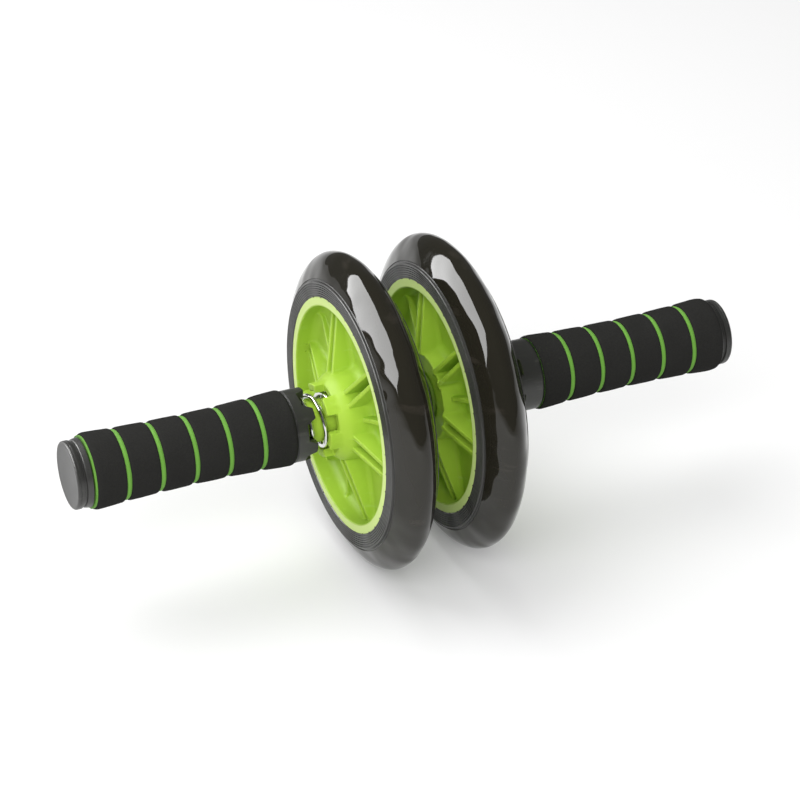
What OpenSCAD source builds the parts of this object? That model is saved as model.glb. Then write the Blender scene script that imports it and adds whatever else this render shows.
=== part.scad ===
// Twin-wheel exercise roller in millimetres. The axle lies along X, Z is up, and the origin is the axle's middle.
// Two spoked wheels turn on the axle. A padded handle slides on each end of it against a spring,
// and pushed in, the crown teeth of its collar brake the wheel.
// A side module is drawn with the axle along Z, measured from the axle's middle outwards,
// and a wheel module along Z from the wheel's own middle plane outwards.

/* [Wheels] */
// Outer diameter of a tyre
wheel_d = 180; // [165:1:220]
// Distance between the middle planes of the two wheels
wheel_spacing = 53.2; // [50:0.1:64]
// Width of the rim from face to face
rim_w = 27; // [24:0.5:32]
// Diameter on which the tyre sits
rim_d = 133.6; // [128:0.2:138]
// Radial thickness of the rim ring at its face
rim_t = 5.3; // [4:0.1:7]
// Depth of the channel round the rim that keys the tyre
key_depth = 2; // [1:0.1:2.5]
// Width of that channel at its mouth
key_w = 10; // [6:0.5:14]
// Turn of the left wheel about the axle at rest, in degrees
left_turn = 20.5; // [0:0.5:120]
// Turn of the right wheel about the axle at rest, in degrees
right_turn = 98; // [0:0.5:120]

/* [Tyre section] */
// How far the tyre's side stands out past the rim's face
tyre_proud = 0.3; // [0:0.1:1]
// Radial width of the flat side of the tyre
side_w = 8.6; // [6:0.1:11]
// Number of fine rings pressed into the flat side
side_rings = 4; // [2:1:5]
// Width of one of those rings
side_ring_w = 0.6; // [0.3:0.1:0.9]
// Depth of one of those rings
side_ring_depth = 0.4; // [0.2:0.1:0.8]
// Radial width of the step between the flat side and the crown
step_w = 1.5; // [0.8:0.1:2.5]
// Depth of that step
step_depth = 1.6; // [0.8:0.1:2.5]
// Width of the tyre where its crown starts
shoulder_w = 25; // [22:0.5:26]
// Radius of the tyre's crown at its very top
crown_r = 6.3; // [5:0.1:9]

/* [Hub] */
// Thickness of the web between the rim and the boss
web_t = 4.4; // [3:0.1:6]
// Wall of the boss outside the spring's pocket
boss_wall = 4.3; // [3.5:0.1:5.5]
// Radius of the boss's wall between its shoulder and its foot
boss_wall_r = 24.8; // [23:0.1:28]
// Height of the boss's shoulder above the wheel's middle plane
boss_shoulder_h = 15.6; // [12:0.1:17]
// Radius of the round where the boss's wall meets the web
boss_foot = 5; // [2:0.5:7]
// Radius of the round between the web and the rim
rim_round = 5; // [1:0.5:8]
// Number of rib pairs, brake teeth and collar teeth
spokes = 6; // [4:1:8]
// Thickness of one rib
rib_t = 1.9; // [1.4:0.1:3]
// Half distance between the middles of the two ribs of a pair
rib_half_gap = 3.8; // [2.4:0.1:4.5]
// Rib height above the wheel's middle plane at its inner end
rib_high = 16; // [10:0.1:16]
// Rib height above the wheel's middle plane at the rim
rib_low = 6; // [3.6:0.1:8]
// Radius at which the single ribs start
single_rib_r = 24; // [22:1:50]
// Number of gaps between rib pairs from one single rib to the next
single_rib_every = 2; // [1:1:3]

/* [Brake teeth and neck] */
// Distance from the wheel's middle plane to the face of its brake teeth
dog_reach = 26.4; // [24:0.1:28]
// Height of a brake tooth
dog_h = 5.6; // [4:0.1:8]
// Width of a brake tooth as an angle, in degrees
dog_angle = 30; // [20:1:34]
// Radial room between the spring and its pocket in the hub
pocket_clear = 0.85; // [0.6:0.05:1.5]
// Depth of the spring's pocket below the brake teeth's face
pocket_depth = 11; // [9:0.1:13]
// Wall of the neck inside the spring, round its bush
neck_wall = 1.9; // [1.5:0.1:3]
// Distance from the wheel's middle plane to the end of the neck
neck_reach = 39.4; // [37:0.1:40]

/* [Axle and bearings] */
// Outer diameter of the axle tube
axle_d = 16; // [14:0.1:17]
// Wall of the axle tube
axle_wall = 2; // [1.5:0.1:3]
// Depth of the two flats that keep a handle from turning
flat_depth = 0.8; // [0.5:0.1:1.2]
// Wall of a bush
bush_wall = 1.85; // [1.5:0.05:2.2]
// Length of a bush inside the hub
bush_len = 12; // [8:0.5:14]
// Thickness of a bush's flange
bush_flange_t = 1.5; // [1:0.1:2]
// How far an inner bush's flange stands out past its bore in the hub
bush_flange_w = 3; // [2:0.1:4]
// Radial clearance between the axle and whatever runs on it
run_clear = 0.05; // [0.02:0.01:0.1]
// Play along the axle at each wheel
end_play = 0.2; // [0.1:0.05:0.4]
// Radial wall of the spacer between the wheels
spacer_wall = 3; // [2:0.1:5]
// Thickness of the washer under the spring
spring_washer_t = 1.2; // [0.8:0.1:1.6]
// Radial clearance of the loose washers
washer_clear = 0.3; // [0.2:0.05:0.5]
// Thickness of the washer beyond the neck and of its retaining ring
thrust_t = 1.2; // [1:0.1:1.5]
// Radial width of a retaining ring
ring_w = 3; // [2:0.1:3.4]
// Depth of the retaining ring's groove
ring_groove = 0.5; // [0.3:0.05:0.8]
// Opening of a retaining ring as an angle, in degrees
ring_gap = 50; // [30:5:80]

/* [End fixings] */
// Length of a threaded insert in the axle's end
insert_len = 18; // [14:1:24]
// Diameter of an end screw's thread
screw_d = 6; // [5:0.5:6]
// Length of an end screw below its head
screw_len = 16; // [12:1:20]
// Diameter of an end screw's head
screw_head_d = 11; // [10:0.5:12]
// Height of an end screw's head
screw_head_h = 4; // [3:0.1:4.5]
// Size across the flats of the screw's hexagon socket
socket_af = 5; // [4:0.5:5]
// Diameter of an end washer
end_washer_d = 23; // [21:0.5:23.2]
// Thickness of an end washer
end_washer_t = 2; // [1.5:0.1:2.5]

/* [Brake stroke and spring] */
// Free stroke of a handle from rest to its inner stop
stroke = 6.4; // [4:0.1:7]
// Distance left between the two sets of teeth at the inner stop
stroke_clear = 0.4; // [0.3:0.1:1]
// Thickness of the spring's wire
wire_d = 2.3; // [2:0.1:2.4]
// Radial room between the neck and the spring
coil_clear = 1.55; // [1.4:0.05:2]
// Rise of one working turn of the spring
coil_pitch = 7.9; // [6:0.1:8.5]
// Number of working turns
coil_turns = 1.75; // [1.5:0.25:2]
// Rise of the closed turn at each end
closed_pitch = 2.8; // [2.8:0.1:3]
// Turn of the spring about the axle, in degrees
coil_start = 5.8; // [0:0.1:360]

/* [Collar and grip tube] */
// Radial room between the spring and the collar's mouth
mouth_clear = 0.35; // [0.3:0.05:0.8]
// Wall of a collar round the spring
collar_wall = 4.2; // [3.5:0.1:5]
// Length of the left collar from its teeth's tips to the foam
left_collar_len = 12.2; // [11:0.1:20]
// Length of the right collar from its teeth's tips to the foam
right_collar_len = 17.2; // [11:0.1:20]
// Length of a collar's teeth
crown_h = 5.2; // [4:0.1:6]
// Width of a collar tooth at its tip, in degrees of the collar
crown_tip_angle = 17; // [12:1:22]
// Width of a collar tooth at its root, in degrees of the collar
crown_root_angle = 34; // [26:1:40]
// Turn of the collars' teeth about the axle, in degrees
collar_turn = 15; // [0:1:60]
// Width of the step round the collar's end next to the foam
lip_w = 1; // [0.5:0.1:2]
// Depth of that step
lip_depth = 0.4; // [0.2:0.1:0.8]
// Thickness of the collar's flange behind the spring
seat_t = 3; // [2:0.1:5]
// Depth of the socket that holds the grip tube
socket_len = 14; // [10:0.5:18]
// Radial room between the neck and the grip tube
neck_clear = 0.4; // [0.3:0.05:0.8]
// Wall of the grip tube's end that fits the socket
spigot_wall = 2.3; // [1.8:0.1:2.8]
// Wall of the socket where it reaches into the sleeve
socket_wall = 2; // [1.5:0.1:2.5]
// Length of each part of the grip tube that runs on the axle
land_len = 15; // [10:1:20]
// Wall of the grip tube between those two parts
relief_wall = 4.5; // [3:0.1:6]

/* [Grips] */
// Distance from the end of the left handle to its foam
left_foam_margin = 10.4; // [6:0.1:14]
// Distance from the end of the right handle to its foam
right_foam_margin = 7; // [6:0.1:14]
// Number of foam rings on a handle
ring_count = 6; // [4:1:7]
// Width of the groove between two rings
groove_w = 2.5; // [1.5:0.1:4]
// Thickness of the foam rings
foam_t = 1.15; // [0.8:0.05:1.4]
// Thickness of the sleeve and foam together at the grip's waist
grip_wall = 2.9; // [2.5:0.1:4]
// How much thicker the grip is at its two ends
end_flare = 1.9; // [0.5:0.1:2.5]
// Radius of a foam ring's edges
foam_round = 0.9; // [0.4:0.1:1]
// How far the green sleeve shows past the last foam ring
sleeve_show = 1; // [0.5:0.1:1.5]
// Clearance between layers that are glued together
glue_gap = 0.05; // [0.02:0.01:0.1]

/* [End caps] */
// Overall length of the roller
total_len = 394; // [390:1:420]
// How far a cap's end disc stays below the grip's waist
cap_step = 0.5; // [0:0.1:1.5]
// Thickness of the end disc
cap_disc_t = 3.8; // [3:0.1:5]
// Radius of the disc's outer edge
cap_round = 1.2; // [0.5:0.1:1.5]
// Depth of the groove behind the disc
cap_groove_depth = 1.3; // [0.8:0.1:2]
// Width of the groove behind the disc
cap_groove_w = 1.5; // [1:0.1:2]
// How far the cap's flange stays below the grip's waist
cap_flange_step = 0.1; // [0:0.1:0.8]
// Thickness of the flange
cap_flange_t = 3.4; // [2.5:0.1:4]
// Thickness of the cap's outer wall
cap_wall = 6.5; // [5:0.1:7]
// Wall of the plug that holds the cap in the grip tube
plug_wall = 2; // [1.5:0.1:2.5]
// Room between the screw head and the cap at the inner stop
cap_clear = 2.1; // [1:0.1:3]

/* [Hidden] */
SIDES = ["left", "right"];
RING_NAMES = [for (i = [1 : ring_count]) str("_foam_ring_", i)];
SIDE_PIECES = [
    "_hub", "_tyre", "_inner_bush", "_outer_bush", "_spring_washer", "_thrust_washer", "_retaining_ring",
    "_end_insert", "_end_washer", "_end_screw", "_collar", "_grip_tube", "_grip_sleeve", "_end_cap", "_spring"
];

$fn = 96;
// Overlap of shapes that are joined, and how far a cut runs past a face
eps = 0.01;
past = 1;
hub_green = [0.55, 0.82, 0.16];
tyre_black = [0.12, 0.11, 0.11];
foam_black = [0.16, 0.16, 0.17];
plastic_black = [0.2, 0.2, 0.21];
sleeve_green = [0.4, 0.7, 0.22];
steel = [0.72, 0.73, 0.75];
bush_white = [0.88, 0.87, 0.82];

// Clearances inside the part
stop_clear = 0.5;
counterbore_clear = 0.5;
hub_bore_clear = 1;
screw_hole_clear = 0.2;

// Radii that follow from the sizes above
wheel_r = wheel_d / 2;
rim_r = rim_d / 2;
rim_bore_r = rim_r - rim_t;
axle_r = axle_d / 2;
run_r = axle_r + run_clear;
bush_r = run_r + bush_wall;
neck_r = bush_r + neck_wall;
coil_r = neck_r + coil_clear + wire_d / 2;
pocket_r = coil_r + wire_d / 2 + pocket_clear;
boss_r = pocket_r + boss_wall;
mouth_r = coil_r + wire_d / 2 + mouth_clear;
collar_r = mouth_r + collar_wall;
clear_r = neck_r + neck_clear;
spigot_r = clear_r + spigot_wall;
tube_r = spigot_r + socket_wall;
waist_r = tube_r + grip_wall;
relief_r = tube_r - relief_wall;
cap_r = waist_r - cap_step;
cap_groove_r = cap_r - cap_groove_depth;
cap_flange_r = waist_r - cap_flange_step;
counterbore_r = end_washer_d / 2 + counterbore_clear;
hub_bore_r = run_r + hub_bore_clear;
rib_r = boss_r + eps;
spacer_r = run_r + spacer_wall;

// Places along the axle, from its middle outwards
wheel_x = wheel_spacing / 2;
inner_boss_x = wheel_x - rim_w / 2;
spacer_x = inner_boss_x - bush_flange_t - end_play;
dog_x = wheel_x + dog_reach;
pocket_x = dog_x - pocket_depth;
neck_x = wheel_x + neck_reach;
thrust_x = neck_x + bush_flange_t + end_play;
ring_x = thrust_x + thrust_t;
tip_x = dog_x + stroke + stroke_clear;
coil_rise = 2 * closed_pitch + coil_turns * coil_pitch;
coil_x = pocket_x + spring_washer_t + wire_d / 2;
seat_x = coil_x + coil_rise + wire_d / 2 + glue_gap;
socket_x = seat_x + seat_t;
spigot_x = socket_x + socket_len;
land_x = ring_x + thrust_t + stroke + stop_clear;
end_x = total_len / 2;
tube_x = end_x - cap_disc_t - cap_groove_w - cap_flange_t;
cap_floor_x = end_x - cap_wall;
axle_x = cap_floor_x - stroke - cap_clear - screw_head_h - end_washer_t;
plug_x = axle_x + end_washer_t + stroke + stop_clear;
flat_x = land_x - stroke - stop_clear + eps;

// Half width of the tyre's crown at a depth below its top: part of an ellipse through the shoulder
shoulder_r = rim_r + side_w + step_w;
shoulder_drop = wheel_r - shoulder_r;
crown_bend = (2 * crown_r * shoulder_drop - pow(shoulder_w / 2, 2)) / pow(shoulder_drop, 2);
function crown_half(drop) = sqrt(max(0, 2 * crown_r * drop - crown_bend * drop * drop));

// Outline of one side of the crown, from the shoulder to the top
crown_steps = 12;
function crown_side(sign) = [
    for (i = [crown_steps : -1 : 1])
        let (drop = shoulder_drop * pow(i / crown_steps, 2))
        [wheel_r - drop, sign * crown_half(drop)]
];

// Flat side of the tyre with its fine rings, from the rim outwards
side_half = rim_w / 2 + tyre_proud;
ring_pitch = side_w / (side_rings + 0.5);
function side_outline(sign) = concat(
    [[rim_r + glue_gap, sign * side_half]],
    [
        for (i = [1 : side_rings])
            let (r = rim_r + ring_pitch * i - ring_pitch / 4)
            each [
                [r - side_ring_w / 2, sign * side_half],
                [r - side_ring_w / 2, sign * (side_half - side_ring_depth)],
                [r + side_ring_w / 2, sign * (side_half - side_ring_depth)],
                [r + side_ring_w / 2, sign * side_half]
            ]
    ],
    [
        [rim_r + side_w, sign * side_half],
        [rim_r + side_w, sign * (side_half - step_depth)],
        [shoulder_r, sign * (side_half - step_depth)]
    ]
);

function reversed(list) = [for (i = [len(list) - 1 : -1 : 0]) list[i]];

// Outline of the boss from a height down to the web: shoulder, wall and round foot
boss_h = dog_reach - dog_h;
foot_steps = 6;
function boss_outline(sign, top) = concat(
    top > boss_shoulder_h
        ? [[boss_r, sign * top], [boss_wall_r, sign * boss_shoulder_h]]
        : [[boss_wall_r, sign * top]],
    [
        for (i = [0 : foot_steps])
            let (a = 90 * i / foot_steps)
            [boss_wall_r + boss_foot * (1 - cos(a)), sign * (web_t / 2 + boss_foot * (1 - sin(a)))]
    ]
);

// Round between the web and the rim, from the web outwards
round_steps = 4;
function rim_corner(sign) = [
    for (i = [0 : round_steps])
        let (a = 90 * i / round_steps)
        [rim_bore_r - rim_round * (1 - sin(a)), sign * (web_t / 2 + rim_round * (1 - cos(a)))]
];

// Radius of a grip's outside at a place along the axle: thinnest halfway
function grip_radius(x, x0, x1) = waist_r + end_flare * pow((2 * x - x0 - x1) / (x1 - x0), 2);

// Points along a layer of the grip, from one place to another
grip_steps = 24;
function layer(a, b, x0, x1, inset, steps) = [
    for (i = [0 : steps])
        let (x = a + (b - a) * i / steps)
        [grip_radius(x, x0, x1) - inset, x]
];

function grip_start(side) = tip_x + (side == "left" ? left_collar_len : right_collar_len);
function grip_end(side) = end_x - (side == "left" ? left_foam_margin : right_foam_margin);
function wheel_turn(side) = side == "left" ? left_turn : right_turn;

// Middle line of the spring's wire: closed turn, working turns, closed turn, and a straight end each way
coil_rings = 8;
coil_sides = 6;
total_turns = coil_turns + 2;
function coil_height(t) =
    t < 1 ? closed_pitch * t
    : t < total_turns - 1 ? closed_pitch + coil_pitch * (t - 1)
    : coil_rise - closed_pitch * (total_turns - t);
coil_count = total_turns * coil_rings;
function coil_point(t) =
    let (a = coil_start + 360 * t)
    [coil_r * cos(a), coil_r * sin(a), coil_x + coil_height(t)];
function straight_end(t, way) =
    let (a = coil_start + 360 * t)
    coil_point(t) + way * wire_d * [-sin(a), cos(a), 0];
coil_line = concat(
    [straight_end(0, -1)],
    [for (i = [0 : coil_count]) coil_point(i / coil_rings)],
    [straight_end(total_turns, 1)]
);
function outward(i) =
    let (t = min(max(i - 1, 0), coil_count) / coil_rings, a = coil_start + 360 * t)
    [cos(a), sin(a), 0];
coil_mesh = [
    for (i = [0 : len(coil_line) - 1])
        for (k = [0 : coil_sides - 1])
            let (a = 360 * k / coil_sides)
            coil_line[i] + wire_d / 2 * (cos(a) * outward(i) + [0, 0, sin(a)])
];
function ring_vertex(i, k) = i * coil_sides + (k % coil_sides);
coil_last = len(coil_line) - 1;
coil_faces = concat(
    [
        for (i = [0 : coil_last - 1])
            for (k = [0 : coil_sides - 1])
                each [
                    [ring_vertex(i, k), ring_vertex(i, k + 1), ring_vertex(i + 1, k + 1)],
                    [ring_vertex(i, k), ring_vertex(i + 1, k + 1), ring_vertex(i + 1, k)]
                ]
    ],
    [for (k = [1 : coil_sides - 2]) [ring_vertex(0, 0), ring_vertex(0, k + 1), ring_vertex(0, k)]],
    [
        for (k = [1 : coil_sides - 2])
            [ring_vertex(coil_last, 0), ring_vertex(coil_last, k), ring_vertex(coil_last, k + 1)]
    ]
);
// Rings nearer than this along the wire are neighbours and aren't measured against each other
gap_skip = coil_rings / 2;
coil_gaps = [
    for (i = [0 : coil_last])
        for (j = [i + gap_skip : 1 : coil_last])
            norm(coil_line[i] - coil_line[j]) - wire_d
];
echo(least_spring_gap_mm = min(coil_gaps));

// Turns a shape drawn outwards along Z to its own side of the axle
module on_side(side) {
    rotate([0, side == "left" ? -90 : 90, 0])
        children();
}

// Puts a wheel shape at its wheel's middle plane, turned as it stands at rest
module on_wheel(side) {
    on_side(side)
        translate([0, 0, wheel_x])
            rotate([0, 0, wheel_turn(side)])
                children();
}

// A tube along Z from one place to another
module tube(outer, inner, from, to) {
    translate([0, 0, from])
        linear_extrude(to - from)
            difference() {
                circle(outer);
                circle(inner);
            }
}

// Outline of the axle where a handle slides on it, with a clearance all round
module keyed_outline(clear) {
    intersection() {
        circle(axle_r + clear);
        square([2 * (axle_r + past), 2 * (axle_r - flat_depth + clear)], center = true);
    }
}

module axle_tube() {
    color(steel)
        rotate([0, 90, 0])
            difference() {
                cylinder(r = axle_r, h = 2 * axle_x, center = true);
                cylinder(r = axle_r - axle_wall, h = 2 * (axle_x + past), center = true);
                for (way = [0, 180])
                    rotate([0, way, 0]) {
                        tube(axle_r + past, axle_r - ring_groove, ring_x, ring_x + thrust_t);
                        translate([0, 0, flat_x])
                            linear_extrude(axle_x)
                                difference() {
                                    circle(axle_r + past);
                                    keyed_outline(0);
                                }
                    }
            }
}

module centre_spacer() {
    color(plastic_black)
        rotate([0, 90, 0])
            tube(spacer_r, run_r, -spacer_x, spacer_x);
}

// Half section of the hub, radius against height above the wheel's middle plane
module hub_section() {
    half = rim_w / 2;
    key_half = key_w / 2;
    polygon(concat(
        [
            [bush_r, neck_reach],
            [neck_r, neck_reach],
            [neck_r, dog_reach - pocket_depth],
            [pocket_r, dog_reach - pocket_depth],
            [pocket_r, boss_h]
        ],
        boss_outline(1, boss_h),
        rim_corner(1),
        [
            [rim_bore_r, half],
            [rim_r, half],
            [rim_r, key_half],
            [rim_r - key_depth, key_half - key_depth / 2],
            [rim_r - key_depth, key_depth / 2 - key_half],
            [rim_r, -key_half],
            [rim_r, -half],
            [rim_bore_r, -half]
        ],
        reversed(rim_corner(-1)),
        reversed(boss_outline(-1, half)),
        [
            [bush_r, -half],
            [bush_r, bush_len - half],
            [hub_bore_r, bush_len - half],
            [hub_bore_r, neck_reach - bush_len],
            [bush_r, neck_reach - bush_len]
        ]
    ));
}

// Brake teeth on the boss
module brake_teeth() {
    reach = boss_r + past;
    half_width = reach * tan(dog_angle / 2);
    for (i = [0 : spokes - 1])
        rotate([0, 0, 360 * i / spokes])
            translate([0, 0, boss_h - eps])
                linear_extrude(dog_h + eps)
                    intersection() {
                        difference() {
                            circle(boss_r);
                            circle(pocket_r);
                        }
                        polygon([[0, 0], [reach, -half_width], [reach, half_width]]);
                    }
}

// Height of the ribs' tops above the wheel's middle plane at a radius
function rib_top(r) = rib_high + (rib_low - rib_high) * (r - rib_r) / (rim_bore_r - rib_r);

// A rib on both faces of the web, from one radius to the rim
module rib(r0) {
    foot = rim_bore_r + eps;
    high = rib_top(r0);
    back = min(high, rim_w / 2);
    rotate([90, 0, 0])
        linear_extrude(rib_t, center = true)
            polygon([[r0, high], [foot, rib_low], [foot, -rib_low], [r0, -back]]);
}

module hub(side) {
    color(hub_green)
        on_wheel(side) {
            rotate_extrude()
                hub_section();
            brake_teeth();
            for (i = [0 : spokes - 1])
                rotate([0, 0, 360 * i / spokes])
                    for (way = [-1, 1])
                        translate([0, way * rib_half_gap, 0])
                            rib(rib_r);
            for (i = [0 : single_rib_every : spokes - 1])
                rotate([0, 0, 360 * (i + 0.5) / spokes])
                    rib(single_rib_r);
        }
}

module tyre(side) {
    key_half = key_w / 2;
    seat = rim_r + glue_gap;
    color(tyre_black)
        on_wheel(side)
            rotate_extrude()
                polygon(concat(
                    side_outline(1),
                    crown_side(1),
                    [[wheel_r, 0]],
                    reversed(crown_side(-1)),
                    reversed(side_outline(-1)),
                    [
                        [seat, -key_half],
                        [seat - key_depth, key_depth / 2 - key_half],
                        [seat - key_depth, key_half - key_depth / 2],
                        [seat, key_half]
                    ]
                ));
}

module inner_bush(side) {
    half = rim_w / 2;
    color(bush_white)
        on_wheel(side) {
            tube(bush_r, run_r, -half, bush_len - half);
            tube(bush_r + bush_flange_w, run_r, -half - bush_flange_t, -half);
        }
}

module outer_bush(side) {
    color(bush_white)
        on_wheel(side) {
            tube(bush_r, run_r, neck_reach - bush_len, neck_reach);
            tube(neck_r - washer_clear, run_r, neck_reach, neck_reach + bush_flange_t);
        }
}

module spring_washer(side) {
    color(steel)
        on_side(side)
            tube(pocket_r - washer_clear, neck_r + washer_clear, pocket_x, pocket_x + spring_washer_t);
}

module thrust_washer(side) {
    color(steel)
        on_side(side)
            tube(neck_r - washer_clear, axle_r + washer_clear, thrust_x, ring_x);
}

module retaining_ring(side) {
    reach = axle_r + ring_w;
    color(steel)
        on_side(side)
            difference() {
                tube(axle_r - ring_groove + ring_w, axle_r - ring_groove, ring_x, ring_x + thrust_t);
                translate([0, 0, ring_x - past])
                    linear_extrude(thrust_t + 2 * past)
                        polygon([
                            [0, 0],
                            [reach, -reach * tan(ring_gap / 2)],
                            [reach, reach * tan(ring_gap / 2)]
                        ]);
            }
}

module end_insert(side) {
    color(steel)
        on_side(side)
            tube(axle_r - axle_wall, screw_d / 2 + eps, axle_x - insert_len, axle_x);
}

module end_washer(side) {
    color(steel)
        on_side(side)
            tube(end_washer_d / 2, screw_d / 2 + screw_hole_clear, axle_x, axle_x + end_washer_t);
}

module end_screw(side) {
    head_x = axle_x + end_washer_t;
    socket_floor = screw_head_h / 3;
    color(steel)
        on_side(side)
            difference() {
                union() {
                    translate([0, 0, head_x - screw_len])
                        cylinder(d = screw_d, h = screw_len);
                    translate([0, 0, head_x])
                        cylinder(d = screw_head_d, h = screw_head_h);
                }
                translate([0, 0, head_x + socket_floor])
                    cylinder(d = socket_af / cos(30), h = screw_head_h, $fn = 6);
            }
}

// Cut between two collar teeth, through the wall, wider at the tips than at the root
module crown_cut() {
    tip_half = collar_r * sin((360 / spokes - crown_tip_angle) / 2);
    root_half = collar_r * sin((360 / spokes - crown_root_angle) / 2);
    slope = (tip_half - root_half) / crown_h;
    rotate([90, 0, 90])
        linear_extrude(collar_r + past)
            polygon([
                [-root_half, tip_x + crown_h],
                [root_half, tip_x + crown_h],
                [tip_half + slope * past, tip_x - past],
                [-tip_half - slope * past, tip_x - past]
            ]);
}

module collar(side) {
    end = grip_start(side);
    color(plastic_black)
        on_side(side) {
            difference() {
                tube(collar_r, mouth_r, tip_x, seat_x + eps);
                for (i = [0 : spokes - 1])
                    rotate([0, 0, collar_turn + 360 * (i + 0.5) / spokes])
                        crown_cut();
            }
            tube(collar_r, clear_r, seat_x, socket_x);
            tube(collar_r, spigot_r, socket_x, end - lip_w);
            tube(collar_r - lip_depth, spigot_r, end - lip_w, end);
            tube(tube_r, spigot_r, end - eps, spigot_x);
        }
}

module grip_tube(side) {
    color(plastic_black)
        on_side(side) {
            tube(spigot_r, clear_r, socket_x, land_x);
            for (x = [land_x, axle_x - land_len])
                translate([0, 0, x])
                    linear_extrude(land_len)
                        difference() {
                            circle(x < spigot_x ? spigot_r : tube_r);
                            keyed_outline(run_clear);
                        }
            tube(tube_r, relief_r, spigot_x, axle_x - land_len);
            tube(spigot_r, relief_r, land_x, spigot_x + eps);
            tube(tube_r, counterbore_r, axle_x, tube_x);
        }
}

module grip_sleeve(side) {
    x0 = grip_start(side);
    x1 = grip_end(side);
    sleeve_end = min(x1 + sleeve_show, tube_x - glue_gap);
    inner = tube_r + glue_gap;
    color(sleeve_green)
        on_side(side)
            rotate_extrude()
                polygon(concat(
                    [[inner, x0 + glue_gap]],
                    layer(x0 + glue_gap, sleeve_end, x0, x1, foam_t + glue_gap, grip_steps),
                    [[inner, sleeve_end]]
                ));
}

// Outer corner of a foam ring, rounded, at one of its two ends
function foam_corner(x, way, x0, x1) = [
    for (i = [0 : round_steps])
        let (a = 90 * i / round_steps)
        [
            grip_radius(x, x0, x1) - foam_round * (1 - sin(a)),
            x + way * foam_round * (1 - cos(a))
        ]
];

module foam_ring(side, index) {
    x0 = grip_start(side);
    x1 = grip_end(side);
    width = (x1 - x0 + groove_w) / ring_count - groove_w;
    from = x0 + glue_gap + (index - 1) * (width + groove_w);
    to = from + width - glue_gap;
    across = 4;
    color(foam_black)
        on_side(side)
            rotate_extrude()
                polygon(concat(
                    foam_corner(from, 1, x0, x1),
                    layer(from + foam_round, to - foam_round, x0, x1, 0, across),
                    reversed(foam_corner(to, -1, x0, x1)),
                    reversed(layer(from, to, x0, x1, foam_t, across))
                ));
}

module end_cap(side) {
    groove_x = tube_x + cap_flange_t;
    disc_x = groove_x + cap_groove_w;
    plug_r = counterbore_r - glue_gap;
    color(plastic_black)
        on_side(side)
            rotate_extrude()
                polygon(concat(
                    [
                        [0, end_x],
                        [0, cap_floor_x],
                        [plug_r - plug_wall, cap_floor_x],
                        [plug_r - plug_wall, plug_x],
                        [plug_r, plug_x],
                        [plug_r, tube_x],
                        [cap_flange_r, tube_x],
                        [cap_r, groove_x],
                        [cap_groove_r, groove_x],
                        [cap_groove_r, disc_x],
                        [cap_r, disc_x]
                    ],
                    [
                        for (i = [0 : round_steps])
                            let (a = 90 * i / round_steps)
                            [cap_r - cap_round * (1 - cos(a)), end_x - cap_round * (1 - sin(a))]
                    ]
                ));
}

module spring(side) {
    color(steel)
        on_side(side)
            polyhedron(coil_mesh, coil_faces, convexity = 6);
}

axle_tube();
centre_spacer();
for (side = SIDES) {
    hub(side);
    tyre(side);
    inner_bush(side);
    outer_bush(side);
    spring_washer(side);
    thrust_washer(side);
    retaining_ring(side);
    end_insert(side);
    end_washer(side);
    end_screw(side);
    collar(side);
    grip_tube(side);
    grip_sleeve(side);
    end_cap(side);
    spring(side);
    for (index = [1 : ring_count]) {
        foam_ring(side, index);
    }
}
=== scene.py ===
"""Twin-wheel exercise roller, dressed in Blender round the packed CAD frame.

The axle lies along X with its middle at the origin. Lengths are in metres, and a number times MM is in
millimetres. Places along the axle are given outwards from its middle. A piece is modelled on the left, and
its copy or its twin is turned round to the right.
"""

import math

import bpy
from bpy.props import FloatProperty, FloatVectorProperty, IntProperty, PointerProperty
from mathutils import Matrix, Vector


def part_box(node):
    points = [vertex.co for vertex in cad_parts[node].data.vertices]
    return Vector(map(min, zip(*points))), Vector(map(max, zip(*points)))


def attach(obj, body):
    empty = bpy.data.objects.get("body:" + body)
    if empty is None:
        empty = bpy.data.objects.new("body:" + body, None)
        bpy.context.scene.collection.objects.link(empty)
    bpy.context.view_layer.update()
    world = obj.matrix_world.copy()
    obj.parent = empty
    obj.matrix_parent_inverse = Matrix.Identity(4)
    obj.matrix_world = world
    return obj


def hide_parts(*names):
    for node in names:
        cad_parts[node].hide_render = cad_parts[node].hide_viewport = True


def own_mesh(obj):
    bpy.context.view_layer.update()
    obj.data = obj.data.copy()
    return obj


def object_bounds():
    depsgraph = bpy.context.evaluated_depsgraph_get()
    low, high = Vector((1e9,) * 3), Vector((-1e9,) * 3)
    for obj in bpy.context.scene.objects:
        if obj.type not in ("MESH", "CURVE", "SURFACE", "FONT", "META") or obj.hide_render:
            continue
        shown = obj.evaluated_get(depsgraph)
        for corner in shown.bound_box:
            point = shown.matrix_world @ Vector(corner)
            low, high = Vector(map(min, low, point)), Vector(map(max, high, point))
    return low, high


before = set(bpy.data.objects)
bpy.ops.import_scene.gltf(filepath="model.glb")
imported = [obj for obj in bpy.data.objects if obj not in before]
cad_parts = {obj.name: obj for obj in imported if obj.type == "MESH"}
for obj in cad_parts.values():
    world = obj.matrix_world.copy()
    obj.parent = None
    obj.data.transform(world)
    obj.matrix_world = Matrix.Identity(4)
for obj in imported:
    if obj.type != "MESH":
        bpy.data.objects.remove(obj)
CAD_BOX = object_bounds()

bl_info = {
    "name": "Twin-wheel roller",
    "version": (1, 0, 0),
    "blender": (4, 5, 0),
    "location": "3D View > Sidebar > Roller",
    "description": "Dresses the packed roller with its wheels, grips, collars, springs and caps",
    "category": "Object",
}

MM = 0.001
SIDES = ("left", "right")
RINGS = range(1, 7)
HALF_SECTOR = math.radians(30)
ARC = tuple(math.radians(a) for a in (0, 30, 60, 90))
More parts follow.
